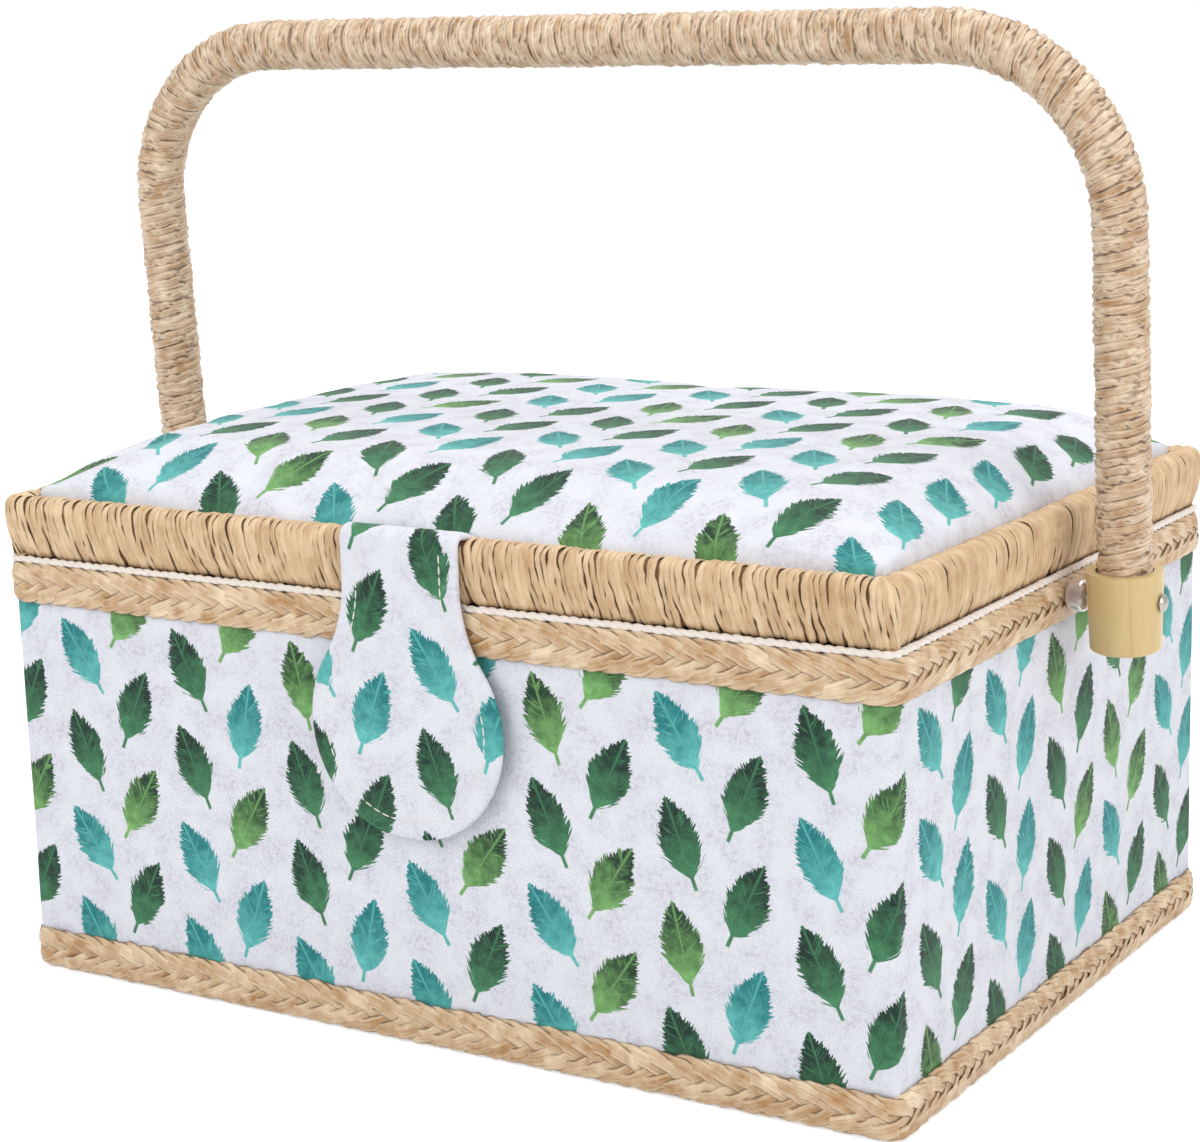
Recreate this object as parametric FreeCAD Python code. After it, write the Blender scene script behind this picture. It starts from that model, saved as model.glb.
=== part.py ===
"""Fabric-covered sewing box with a padded lid, raffia trim, a closing tab and an arch handle.

X runs to the right, Y to the back and Z up. The origin is under the middle of the base. Lengths are in
millimetres. Offsets are measured outwards from the cloth on the walls.
"""
import FreeCAD, Part
import math
import os

Vec = FreeCAD.Vector
X_AXIS = Vec(1, 0, 0)
Y_AXIS = Vec(0, 1, 0)
Z_AXIS = Vec(0, 0, 1)

# Box body, over the cloth
body_length = 292.0
body_depth = 210.6
wall_top = 126.6
corner_radius = 2.0
least_corner_radius = 1.0
cover_thickness = 0.8
board_thickness = 3.0
lining_thickness = 0.6
base_cloth_thickness = 0.8
base_board_thickness = 3.0
glue_gap = 0.05
cut_overrun = 20.0

# Raffia braids and the cord above them
braid_height = 12.3
braid_thickness = 2.1
braid_corner_radius = 6.0
braid_edge_radius = 0.8
piping_radius = 0.9
piping_offset = 0.6

# Lid rim: a hoop with raffia wound round it
lid_gap = 0.35
rim_height = 18.0
rim_width = 8.0
rim_overhang = 2.4
rim_corner_radius = 5.0
rim_foot_draw = 3.2
rim_foot_power = 3
rim_top_draw = 3.0
rim_top_power = 14
rim_steps = 12
hoop_height = 10.5
hoop_width = 2.6

# Padded lid, drawn in below the rim and crowned above it
lid_corner_radius = 4.0
lid_recess = 0.4
lid_board_thickness = 2.6
pad_draw_in = 1.6
crown_run = 75.0
crown_rise = 17.4
crown_corner_growth = 15.0
foot_steps = 2
crown_steps = 10

# Closing tab, with drops measured from the top of the rim
tab_thickness = 1.8
tab_backing_thickness = 0.6
tab_root_thickness = 1.6
tab_clearance = 0.5
tab_neck_half = 20.0
tab_neck_fillet = 40.0
tab_round_radius = 32.0
tab_round_drop = 53.8
magnet_drop = 67.0
magnet_radius = 7.0
magnet_thickness = 1.0
keeper_radius = 8.0
keeper_thickness = 1.0

# Butt hinges at the back
hinge_spread = 80.0
leaf_width = 24.0
leaf_height = 12.0
leaf_thickness = 0.9
leaf_clearance = 0.35
knuckle_radius = 1.9
knuckle_gap = 0.2
knuckle_clearance = 0.3
pin_radius = 0.75
running_clearance = 0.05
hinge_screw_radius = 1.0
hinge_screw_length = 7.0
hinge_screw_spread = 8.0
hinge_screw_head_radius = 2.0
hinge_screw_head_height = 0.8

# Handle pivots
pivot_drop = 4.6
pivot_screw_radius = 1.5
pivot_screw_end = 0.8
screw_head_radius = 2.6
screw_head_height = 1.3
washer_radius = 4.5
washer_thickness = 0.8
nut_across_flats = 5.5
nut_thickness = 2.4
bush_radius = 4.0
side_clearance = 0.3

# Arch handle, in a plane that leans forward about the pivots
leg_offset = 18.7
handle_rise = 153.0
handle_bend_radius = 50.0
handle_lean_deg = 3.4
core_radius = 5.0
core_below_pivot = 10.0
wrap_radius = 7.55
cap_top_radius = 10.6
cap_bottom_radius = 9.8
cap_above_pivot = 8.5
cap_below_pivot = 14.0
cap_socket_depth = 5.0
cap_socket_clearance = 0.4
cap_edge_radius = 1.2

# Places on the box
half_length = body_length / 2
half_depth = body_depth / 2
flat_x = half_length - corner_radius
floor_top = base_cloth_thickness + base_board_thickness
board_inner = -cover_thickness - board_thickness
board_joint_x = half_length + board_inner
lining_inner = board_inner - lining_thickness
braid_outer = glue_gap + braid_thickness
piping_z = wall_top + glue_gap + piping_radius

# Places on the lid
rim_bottom = piping_z + piping_radius + lid_gap
rim_top = rim_bottom + rim_height
rim_middle_z = (rim_bottom + rim_top) / 2
rim_middle = rim_overhang - rim_width / 2
rim_inner = rim_overhang - rim_width
lid_edge = rim_inner - glue_gap
lining_bottom = rim_bottom + lid_recess
lid_board_bottom = lining_bottom + lining_thickness
pad_bottom = lid_board_bottom + lid_board_thickness

# Places on the tab
tab_half_thickness = (tab_thickness + tab_backing_thickness) / 2
tab_back_y = -(half_depth + max(braid_outer, rim_overhang) + tab_clearance)
tab_split_y = tab_back_y - tab_backing_thickness
tab_axis_y = tab_back_y - tab_half_thickness
tab_axis_z = rim_top + glue_gap + tab_root_thickness - tab_half_thickness
tab_round_z = rim_top - tab_round_drop
magnet_z = rim_top - magnet_drop

# Places on the hinges
leaf_y = half_depth + max(braid_outer, rim_overhang) + leaf_clearance
hinge_axis_y = leaf_y + knuckle_radius
hinge_axis_z = (wall_top + rim_bottom) / 2
leaf_reach = knuckle_radius + knuckle_clearance
leaf_screw_reach = leaf_reach + leaf_height / 2
knuckle_length = (leaf_width - 2 * knuckle_gap) / 3

# Places on the handle
pivot = Vec(0, 0, wall_top - pivot_drop)
pivot_bore_radius = pivot_screw_radius + running_clearance
leg_x = half_length + leg_offset
bar_z = pivot.z + handle_rise
cap_top = pivot.z + cap_above_pivot
cap_bottom = pivot.z - cap_below_pivot
core_foot = pivot.z - core_below_pivot
wrap_foot = cap_top - cap_socket_depth
lining_x = half_length + lining_inner
bush_start_x = half_length + braid_outer + side_clearance
bush_end_x = leg_x - cap_top_radius - side_clearance
screw_head_x = leg_x + cap_top_radius + side_clearance


def block(low, high):
    """Box between two opposite corners."""
    size = high - low
    return Part.makeBox(size.x, size.y, size.z, low)


def rounded_rectangle(centre, u_axis, v_axis, half_u, half_v, radius):
    """Closed wire of four lines and four quarter arcs, starting at the end of its low side."""
    diagonal = radius * math.sqrt(0.5)
    curves = []
    for u_sign, v_sign in ((1, -1), (1, 1), (-1, 1), (-1, -1)):
        middle = centre + u_axis * (u_sign * (half_u - radius)) + v_axis * (v_sign * (half_v - radius))
        on_u = middle + u_axis * (u_sign * radius)
        on_v = middle + v_axis * (v_sign * radius)
        through = middle + u_axis * (u_sign * diagonal) + v_axis * (v_sign * diagonal)
        first, last = (on_v, on_u) if u_sign != v_sign else (on_u, on_v)
        if curves:
            curves.append(Part.LineSegment(curves[-1].EndPoint, first))
        curves.append(Part.Arc(first, through, last))
    curves.append(Part.LineSegment(curves[-1].EndPoint, curves[0].StartPoint))
    return Part.Wire([curve.toShape() for curve in curves])


def outline(offset, z, corner=None):
    """Outline of the box at a height, at an offset from the cloth, with its own corner radius if given."""
    radius = corner or max(corner_radius + offset, least_corner_radius)
    return rounded_rectangle(Vec(0, 0, z), X_AXIS, Y_AXIS, half_length + offset, half_depth + offset, radius)


def slab(offset, low, high, edge_radius=0, corner=None):
    """Solid inside an outline, with its level edges rounded if asked."""
    solid = Part.Face(outline(offset, low, corner)).extrude(Z_AXIS * (high - low))
    if edge_radius:
        level = [edge for edge in solid.Edges if edge.BoundBox.ZLength < edge_radius]
        solid = solid.makeFillet(edge_radius, level)
    return solid


def band(inner, outer, low, high):
    """Ring round the box between two offsets."""
    return slab(outer, low, high).cut(slab(inner, low - cut_overrun, high + cut_overrun))


def braid(low):
    """Flat band of raffia on the cloth, easing round the corners."""
    outside = slab(braid_outer, low, low + braid_height, braid_edge_radius, braid_corner_radius)
    return outside.cut(slab(glue_gap, low - cut_overrun, low + braid_height + cut_overrun))


def sweep(path, section):
    """Solid of one closed section carried along a path."""
    pipe = Part.BRepOffsetAPI.MakePipeShell(path)
    pipe.add(section)
    pipe.build()
    pipe.makeSolid()
    return pipe.shape()


def disc(centre, axis, radius):
    """Circle as a closed section."""
    return Part.Wire([Part.Circle(centre, axis, radius).toShape()])


def rod(start, end, radius):
    """Cylinder between two points."""
    return Part.makeCylinder(radius, (end - start).Length, start, end - start)


def dome(base, axis, radius, height):
    """Cap of a ball on a flat base."""
    ball_radius = (radius ** 2 + height ** 2) / (2 * height)
    base_latitude = math.degrees(math.asin((ball_radius - height) / ball_radius))
    return Part.makeSphere(ball_radius, base + axis * (height - ball_radius), axis, base_latitude, 90, 360)


def mirrored(shape):
    """The same shape on the left."""
    return shape.mirror(Vec(0, 0, 0), X_AXIS)


def pair(shape):
    """A shape on the right and its mirror image on the left, as separate solids."""
    return Part.makeCompound([shape, mirrored(shape)])


def cut_all(shape, tools):
    """A shape less every tool in a list."""
    for tool in tools:
        shape = shape.cut(tool)
    return shape


def along_pivot(start_x, end_x, radius):
    """Cylinder on the pivot axis."""
    return rod(pivot + X_AXIS * start_x, pivot + X_AXIS * end_x, radius)


def pivot_bore():
    """Running bore for the pivot screws, through everything on their axis."""
    reach = leg_x + cap_top_radius + cut_overrun
    return along_pivot(-reach, reach, pivot_bore_radius)


def hinge_screw_places(z):
    """Where the screws of one row meet the outer faces of the leaves."""
    sides = [side * hinge_spread for side in (-1, 1)]
    steps = [step * hinge_screw_spread for step in (-1, 1)]
    return [Vec(side + step, leaf_y + leaf_thickness, z) for side in sides for step in steps]


def hinge_screw_bores(z):
    """Holes for one row of hinge screws."""
    radius = hinge_screw_radius + glue_gap
    depth = Y_AXIS * (hinge_screw_length + glue_gap)
    return [rod(place, place - depth, radius) for place in hinge_screw_places(z)]


def hinge_screws(z):
    """One row of round-headed hinge screws."""
    screws = []
    for place in hinge_screw_places(z):
        shank = rod(place, place - Y_AXIS * hinge_screw_length, hinge_screw_radius)
        screws.append(shank.fuse(dome(place, Y_AXIS, hinge_screw_head_radius, hinge_screw_head_height)))
    return Part.makeCompound(screws)


def box_nodes():
    """Boards, cloth and raffia of the box."""
    bores = hinge_screw_bores(hinge_axis_z - leaf_screw_reach)
    through = bores + [pivot_bore()]
    far_y = half_depth + cut_overrun
    top = wall_top + cut_overrun
    walls = band(board_inner, -cover_thickness, floor_top, wall_top)
    front = walls.common(block(Vec(-board_joint_x, -far_y, 0), Vec(board_joint_x, 0, top)))
    back = walls.common(block(Vec(-board_joint_x, 0, 0), Vec(board_joint_x, far_y, top)))
    right = walls.common(block(Vec(board_joint_x, -far_y, 0), Vec(leg_x, far_y, top))).cut(pivot_bore())
    keeper_face = Vec(0, -half_depth + cover_thickness, magnet_z)
    keeper = rod(keeper_face, keeper_face + Y_AXIS * keeper_thickness, keeper_radius)
    keeper_room = rod(keeper_face, keeper_face + Y_AXIS * keeper_thickness, keeper_radius + glue_gap)
    hollow = slab(lining_inner, floor_top + lining_thickness, top)
    cover = band(-cover_thickness + glue_gap, 0, base_cloth_thickness, wall_top)
    cord_start = Vec(flat_x, -half_depth - piping_offset, piping_z)
    return {
        "base_cloth": slab(0, 0, base_cloth_thickness),
        "base_board": slab(-cover_thickness, base_cloth_thickness, floor_top),
        "front_board": front.cut(keeper_room),
        "front_keeper": keeper,
        "back_board": cut_all(back, bores),
        "right_board": right,
        "left_board": mirrored(right),
        "body_cover": cut_all(cover, through),
        "body_lining": slab(board_inner - glue_gap, floor_top, wall_top).cut(hollow).cut(pivot_bore()),
        "lower_braid": braid(0),
        "upper_braid": cut_all(braid(wall_top - braid_height), through),
        "top_piping": sweep(outline(piping_offset, piping_z), disc(cord_start, X_AXIS, piping_radius)),
    }


def crown(inset):
    """Padded shape on the lid board, drawn in at its foot and swelling over the rim to a broad crown."""
    sections = []
    for step in range(-foot_steps, 0):
        share = step / foot_steps
        draw_in = pad_draw_in * share ** 2
        z = rim_top + (rim_top - pad_bottom) * share
        sections.append(outline(lid_edge - inset - draw_in, z, lid_corner_radius - inset))
    for step in range(crown_steps + 1):
        share = step / crown_steps
        draw_in = crown_run * share ** 3
        z = rim_top + (crown_rise - inset) * (1 - (1 - share) ** 2)
        corner = lid_corner_radius - inset + crown_corner_growth * share
        sections.append(outline(lid_edge - inset - draw_in, z, corner))
    return Part.makeLoft(sections, True, True)


def rim():
    """Wound rim, tapering to its foot and rounded at its top, open for the pad."""
    sections = []
    for step in range(rim_steps + 1):
        share = step / rim_steps
        draw_in = rim_foot_draw * (1 - share) ** rim_foot_power + rim_top_draw * share ** rim_top_power
        sections.append(outline(rim_overhang - draw_in, rim_bottom + rim_height * share, rim_corner_radius))
    room = slab(rim_inner, rim_bottom - cut_overrun, rim_top + cut_overrun, corner=lid_corner_radius)
    return Part.makeLoft(sections, True, True).cut(room)


def lid_nodes():
    """Board, pad, cloth and wound rim of the lid."""
    bores = hinge_screw_bores(hinge_axis_z + leaf_screw_reach)
    hoop_low = rim_middle_z - hoop_height / 2
    hoop_high = rim_middle_z + hoop_height / 2
    hoop = band(rim_middle - hoop_width / 2, rim_middle + hoop_width / 2, hoop_low, hoop_high)
    pad = crown(cover_thickness)
    root_back_y = -half_depth - rim_inner - tab_clearance
    root_front_y = tab_back_y + tab_clearance
    root_low = Vec(-tab_neck_half, root_front_y, rim_top + glue_gap)
    root_high = Vec(tab_neck_half, root_back_y, rim_top + glue_gap + tab_root_thickness)
    return {
        "lid_lining": slab(lid_edge, lining_bottom, lid_board_bottom, corner=lid_corner_radius),
        "lid_board": slab(lid_edge, lid_board_bottom, pad_bottom, corner=lid_corner_radius),
        "lid_pad": pad,
        "lid_cover": crown(0).cut(pad),
        "rim_hoop": cut_all(hoop, bores),
        "rim_wrap": cut_all(rim(), [hoop] + bores),
        "tab_root": block(root_low, root_high),
    }


def tab_arc(x, z, radius, start, end):
    """Arc in the plane of the tab's back face, between two angles."""
    angles = (start, (start + end) / 2, end)
    return Part.Arc(*[Vec(x + radius * math.cos(a), tab_back_y, z + radius * math.sin(a)) for a in angles])


def tab_outline():
    """Straight neck that flares through two hollow curves into a round end."""
    fillet_x = tab_neck_half + tab_neck_fillet
    reach = tab_neck_fillet + tab_round_radius
    fillet_z = tab_round_z + math.sqrt(reach ** 2 - fillet_x ** 2)
    meet = math.atan2(fillet_z - tab_round_z, fillet_x)
    down = -math.pi / 2
    curves = [
        tab_arc(fillet_x, fillet_z, tab_neck_fillet, math.pi, math.pi + meet),
        tab_arc(0, tab_round_z, tab_round_radius, meet, down),
        tab_arc(0, tab_round_z, tab_round_radius, down, -math.pi - meet),
        tab_arc(-fillet_x, fillet_z, tab_neck_fillet, -meet, 0),
    ]
    left_top = Vec(-tab_neck_half, tab_back_y, tab_axis_z)
    right_top = Vec(tab_neck_half, tab_back_y, tab_axis_z)
    curves.append(Part.LineSegment(curves[-1].EndPoint, left_top))
    curves.append(Part.LineSegment(left_top, right_top))
    curves.append(Part.LineSegment(right_top, curves[0].StartPoint))
    return Part.Wire([curve.toShape() for curve in curves])


def tab_nodes():
    """Flap of the closing tab, round at the top where it folds, with a magnet behind its face."""
    sheet = Part.Face(tab_outline()).extrude(Y_AXIS * (-2 * tab_half_thickness))
    fold_middle = Vec(0, tab_axis_y, tab_axis_z)
    neck = X_AXIS * tab_neck_half
    whole = sheet.fuse(rod(fold_middle - neck, fold_middle + neck, tab_half_thickness)).removeSplitter()
    reach = Vec(tab_round_radius, cut_overrun, rim_top) + Vec(cut_overrun, 0, cut_overrun)
    split = Vec(0, tab_split_y, 0)
    behind = block(split - Vec(reach.x, 0, 0), split + reach)
    magnet_face = Vec(0, tab_split_y, magnet_z)
    magnet_back = magnet_face - Y_AXIS * magnet_thickness
    return {
        "tab_flap": whole.cut(behind).cut(rod(magnet_face, magnet_back, magnet_radius + glue_gap)),
        "tab_backing": whole.common(behind),
        "tab_magnet": rod(magnet_face, magnet_back, magnet_radius),
    }


def leaf(side, knuckle_steps):
    """Right-hand hinge leaf below or above the pin, with its knuckles at whole steps from the middle."""
    back_y = leaf_y + leaf_thickness
    edge_z = hinge_axis_z + side * leaf_reach
    end_z = edge_z + side * leaf_height
    low_x = hinge_spread - leaf_width / 2
    high_x = hinge_spread + leaf_width / 2
    shape = block(Vec(low_x, leaf_y, min(edge_z, end_z)), Vec(high_x, back_y, max(edge_z, end_z)))
    for step in knuckle_steps:
        middle_x = hinge_spread + step * (knuckle_length + knuckle_gap)
        start = Vec(middle_x - knuckle_length / 2, hinge_axis_y, hinge_axis_z)
        end = start + X_AXIS * knuckle_length
        tongue_low = Vec(start.x, leaf_y, min(edge_z, hinge_axis_z))
        tongue_high = Vec(end.x, back_y, max(edge_z, hinge_axis_z))
        shape = shape.fuse(block(tongue_low, tongue_high)).fuse(rod(start, end, knuckle_radius))
    pin_start = Vec(low_x, hinge_axis_y, hinge_axis_z)
    bore = rod(pin_start, pin_start + X_AXIS * leaf_width, pin_radius + running_clearance)
    return shape.removeSplitter().cut(bore)


def hinge_nodes():
    """Two butt hinges, their pins and screws."""
    body_row = hinge_axis_z - leaf_screw_reach
    lid_row = hinge_axis_z + leaf_screw_reach
    pin_start = Vec(hinge_spread - leaf_width / 2, hinge_axis_y, hinge_axis_z)
    return {
        "body_hinge_leaves": cut_all(pair(leaf(-1, (-1, 1))), hinge_screw_bores(body_row)),
        "lid_hinge_leaves": cut_all(pair(leaf(1, (0,))), hinge_screw_bores(lid_row)),
        "hinge_pins": pair(rod(pin_start, pin_start + X_AXIS * leaf_width, pin_radius)),
        "body_hinge_screws": hinge_screws(body_row),
        "lid_hinge_screws": hinge_screws(lid_row),
    }


def nut():
    """Six-sided nut on the right-hand pivot screw."""
    corner = nut_across_flats / math.sqrt(3)
    x = lining_x - washer_thickness
    turns = [step * math.pi / 3 for step in range(7)]
    corners = [Vec(x, corner * math.cos(turn), pivot.z + corner * math.sin(turn)) for turn in turns]
    return Part.Face(Part.makePolygon(corners)).extrude(X_AXIS * -nut_thickness).cut(pivot_bore())


def pivot_nodes():
    """Screws, washers, nuts and bushes that the handle hangs on."""
    screw_end_x = lining_x - washer_thickness - nut_thickness - pivot_screw_end
    head = dome(pivot + X_AXIS * screw_head_x, X_AXIS, screw_head_radius, screw_head_height)
    washer = along_pivot(lining_x - washer_thickness, lining_x, washer_radius).cut(pivot_bore())
    bush = along_pivot(bush_start_x, bush_end_x, bush_radius).cut(pivot_bore())
    return {
        "pivot_screws": pair(along_pivot(screw_end_x, screw_head_x, pivot_screw_radius).fuse(head)),
        "pivot_washers": pair(washer),
        "pivot_nuts": pair(nut()),
        "right_pivot_bush": bush,
        "left_pivot_bush": mirrored(bush),
    }


def arch_path(foot_z):
    """Middle line of the handle: up the right leg, over the bar and down the left leg."""
    bend_z = bar_z - handle_bend_radius
    bend_x = leg_x - handle_bend_radius
    diagonal = handle_bend_radius * math.sqrt(0.5)
    right = [Vec(leg_x, 0, foot_z), Vec(leg_x, 0, bend_z), Vec(bend_x + diagonal, 0, bend_z + diagonal)]
    right.append(Vec(bend_x, 0, bar_z))
    left = [Vec(-point.x, 0, point.z) for point in reversed(right)]
    curves = [Part.LineSegment(right[0], right[1]), Part.Arc(right[1], right[2], right[3])]
    curves.append(Part.LineSegment(right[3], left[0]))
    curves += [Part.Arc(left[0], left[1], left[2]), Part.LineSegment(left[2], left[3])]
    return Part.Wire([curve.toShape() for curve in curves])


def arch(foot_z, radius):
    """Round bar along the handle's middle line."""
    return sweep(arch_path(foot_z), disc(Vec(leg_x, 0, foot_z), Z_AXIS, radius))


def end_cap():
    """Tapered cup on the foot of the right leg, with a cross bore for the pivot screw."""
    foot = Vec(leg_x, 0, cap_bottom)
    cup = Part.makeCone(cap_bottom_radius, cap_top_radius, cap_top - cap_bottom, foot)
    foot_edges = [edge for edge in cup.Edges if edge.BoundBox.ZMax < core_foot]
    cup = cup.makeFillet(cap_edge_radius, foot_edges)
    top = Vec(leg_x, 0, cap_top)
    socket = rod(Vec(leg_x, 0, wrap_foot), top, wrap_radius + cap_socket_clearance)
    core_room = rod(Vec(leg_x, 0, core_foot), top, core_radius + glue_gap)
    return cut_all(cup, [socket, core_room, pivot_bore()])


def handle_nodes():
    """Core, winding and end caps of the handle, leaning forward."""
    nodes = {
        "handle_core": arch(core_foot, core_radius).cut(pivot_bore()),
        "handle_wrap": arch(wrap_foot, wrap_radius).cut(arch(core_foot, core_radius + glue_gap)),
        "right_end_cap": end_cap(),
        "left_end_cap": mirrored(end_cap()),
    }
    for shape in nodes.values():
        shape.rotate(pivot, X_AXIS, handle_lean_deg)
    return nodes


def write_nodes():
    """One file for each node."""
    os.makedirs("parts", exist_ok=True)
    for make in (box_nodes, lid_nodes, tab_nodes, hinge_nodes, pivot_nodes, handle_nodes):
        for name, shape in make().items():
            shape.exportStep("parts/" + name + ".step")
            print(name, len(shape.Solids), "solids,", round(shape.Volume), "mm3, valid", shape.isValid())


write_nodes()
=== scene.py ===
"""Looks of the fabric-covered sewing box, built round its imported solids.

Property groups hold the sizes and colours, one operator makes each group of like pieces, and a panel lists them.
Lengths are in metres, and MM turns a size in millimetres. X runs to the right, Y to the back and Z up.
"""
import math

import bmesh
import bpy
import numpy as np
from mathutils import Matrix, Vector, noise


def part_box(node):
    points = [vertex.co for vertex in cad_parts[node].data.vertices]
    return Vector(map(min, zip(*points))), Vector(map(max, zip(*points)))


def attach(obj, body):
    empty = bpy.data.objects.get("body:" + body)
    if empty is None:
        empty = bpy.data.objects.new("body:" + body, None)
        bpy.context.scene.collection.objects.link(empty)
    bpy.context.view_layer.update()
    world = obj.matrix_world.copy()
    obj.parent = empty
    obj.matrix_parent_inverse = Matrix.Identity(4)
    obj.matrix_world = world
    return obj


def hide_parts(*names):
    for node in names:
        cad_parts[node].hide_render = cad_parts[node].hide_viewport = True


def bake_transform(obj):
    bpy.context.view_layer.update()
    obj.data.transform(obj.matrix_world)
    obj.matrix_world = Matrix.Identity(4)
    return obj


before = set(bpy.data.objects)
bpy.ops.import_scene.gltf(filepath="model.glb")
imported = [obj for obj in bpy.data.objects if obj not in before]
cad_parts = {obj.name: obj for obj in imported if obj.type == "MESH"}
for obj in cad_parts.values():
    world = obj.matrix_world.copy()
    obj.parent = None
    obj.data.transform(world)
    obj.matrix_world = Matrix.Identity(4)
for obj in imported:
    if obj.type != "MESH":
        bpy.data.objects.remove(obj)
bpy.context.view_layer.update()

bl_info = {
    "name": "Sewing box",
    "version": (1, 0, 0),
    "blender": (4, 5, 0),
    "location": "View3D > Sidebar > Sewing box",
    "description": "Makes the cloth, raffia and fittings of a fabric-covered sewing box",
    "category": "Object",
}

MM = 0.001
SEED = 11
NODE_FAMILIES = ("GeometryNode", "ShaderNode", "FunctionNode", "")
WALL_BOARDS = ["front_board", "back_board", "left_board", "right_board"]
CLOTH_FRAMES = 20
# Waves per metre in cloth that lies flat
RIPPLES = 28.0
# Steps through noise that set one leaf, fibre, strand or strip apart from the next
LEAF_APART = 61.0
FIBRE_APART = 97.0
STRAND_APART = 7.3
STRIP_APART = 53.0

# Box body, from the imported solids
cover_low, cover_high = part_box("body_cover")
lining_low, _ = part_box("body_lining")
base_low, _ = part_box("base_cloth")
half_length = cover_high.x
half_depth = cover_high.y
wall_top = cover_high.z
corner_radius = 2 * MM
least_corner_radius = 1 * MM
cover_thickness = 0.8 * MM
cloth_spacing = 4 * MM
lining_spacing = 5 * MM
lining_thickness = 0.6 * MM
board_offset = -4.4 * MM

# Lid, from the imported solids
rim_low, rim_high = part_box("rim_wrap")
pad_low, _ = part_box("lid_pad")
_, crown_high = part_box("lid_cover")
lid_lining_low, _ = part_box("lid_lining")
rim_overhang = 2.4 * MM
rim_corner_radius = 5 * MM
rim_width = 8 * MM
rim_height = rim_high.z - rim_low.z
rim_foot_draw = 3.2 * MM
rim_top_draw = 3 * MM
lid_corner_radius = 4 * MM
crown_run = 75 * MM
pad_swell = 3.5 * MM

# Braids and the cord above them
upper_low, upper_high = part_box("upper_braid")
lower_low, lower_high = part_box("lower_braid")
piping_low, piping_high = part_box("top_piping")
braid_offset = (upper_high.x - half_length) / 2
braid_corner_radius = 5 * MM

# Closing tab
flap_low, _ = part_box("tab_flap")
_, backing_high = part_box("tab_backing")
root_low, root_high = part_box("tab_root")
tab_thickness = backing_high.y - flap_low.y
tab_neck_half = 19.5 * MM
tab_root_dip = 2 * MM
tab_root_points = 8
tab_fold_points = 7
tab_fold_radius = 3 * MM
tab_edge_round = 1.4 * MM
stitch_inset = 5.5 * MM
stitch_groove = 0.12 * MM
stitch_groove_width = 0.9 * MM
tab_neck_fillet = 40 * MM
tab_round_radius = 32 * MM
tab_round_z = flap_low.z + tab_round_radius
tab_fillet_z = tab_round_z + math.sqrt(
    (tab_neck_fillet + tab_round_radius) ** 2 - (tab_neck_half + tab_neck_fillet) ** 2
)

# Arch handle, in a plane that leans forward about the pivots
pivot = Vector((0, 0, wall_top - 4.6 * MM))
leg_x = half_length + 18.7 * MM
handle_rise = 153 * MM
handle_bend = 50 * MM
handle_lean = math.radians(3.4)
wrap_radius = 7.55 * MM
wrap_foot = pivot.z + 3.5 * MM


def hex_colour(code):
    """Linear red, green, blue and alpha of an sRGB hex colour."""
    parts = [int(code[place:place + 2], 16) / 255 for place in (1, 3, 5)]
    linear = [c / 12.92 if c <= 0.04045 else ((c + 0.055) / 1.055) ** 2.4 for c in parts]
    return (*linear, 1.0)


def length_property(name, description, default):
    """A length that the sidebar shows with its unit."""
    return bpy.props.FloatProperty(name=name, description=description, default=default, unit="LENGTH", precision=5)


def colour_property(name, description, code):
    """A colour with its default given as sRGB hex."""
    return bpy.props.FloatVectorProperty(
        name=name, description=description, default=hex_colour(code), size=4, min=0, max=1, subtype="COLOR"
    )


class ClothSettings(bpy.types.PropertyGroup):
    """Printed cotton, lining and padding"""

    ground: colour_property("Ground", "Pale ground of the print", "#E2E4EC")
    ground_shade: colour_property("Ground shade", "Faint mottling on the ground", "#CCCBD8")
    teal_dark: colour_property("Teal, dark", "Dark wash of the teal leaves", "#22797C")
    teal_light: colour_property("Teal, light", "Light wash of the teal leaves", "#74D2CC")
    pine_dark: colour_property("Pine, dark", "Dark wash of the pine-green leaves", "#1D332C")
    pine_light: colour_property("Pine, light", "Light wash of the pine-green leaves", "#539A6B")
    leaf_dark: colour_property("Leaf, dark", "Dark wash of the fresh green leaves", "#253F2E")
    leaf_light: colour_property("Leaf, light", "Light wash of the fresh green leaves", "#8FCB7A")
    lining: colour_property("Lining", "Plain cotton inside the box", "#E8E3DC")
    thread: colour_property("Thread", "Topstitching round the tab", "#ECE8E2")
    repeat_across: length_property("Repeat across", "Distance between columns of leaves", 20.5 * MM)
    repeat_along: length_property("Repeat along", "Distance between leaves in a column", 29 * MM)
    leaf_length: length_property("Leaf length", "Length of one printed leaf", 24 * MM)
    leaf_width: length_property("Leaf width", "Width of one printed leaf", 13.2 * MM)
    weave: length_property("Weave", "Distance between two threads as drawn", 0.9 * MM)
    pressure: bpy.props.FloatProperty(
        name="Pad pressure", description="Pressure that fills the padded lid", default=4.0, min=0
    )


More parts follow.
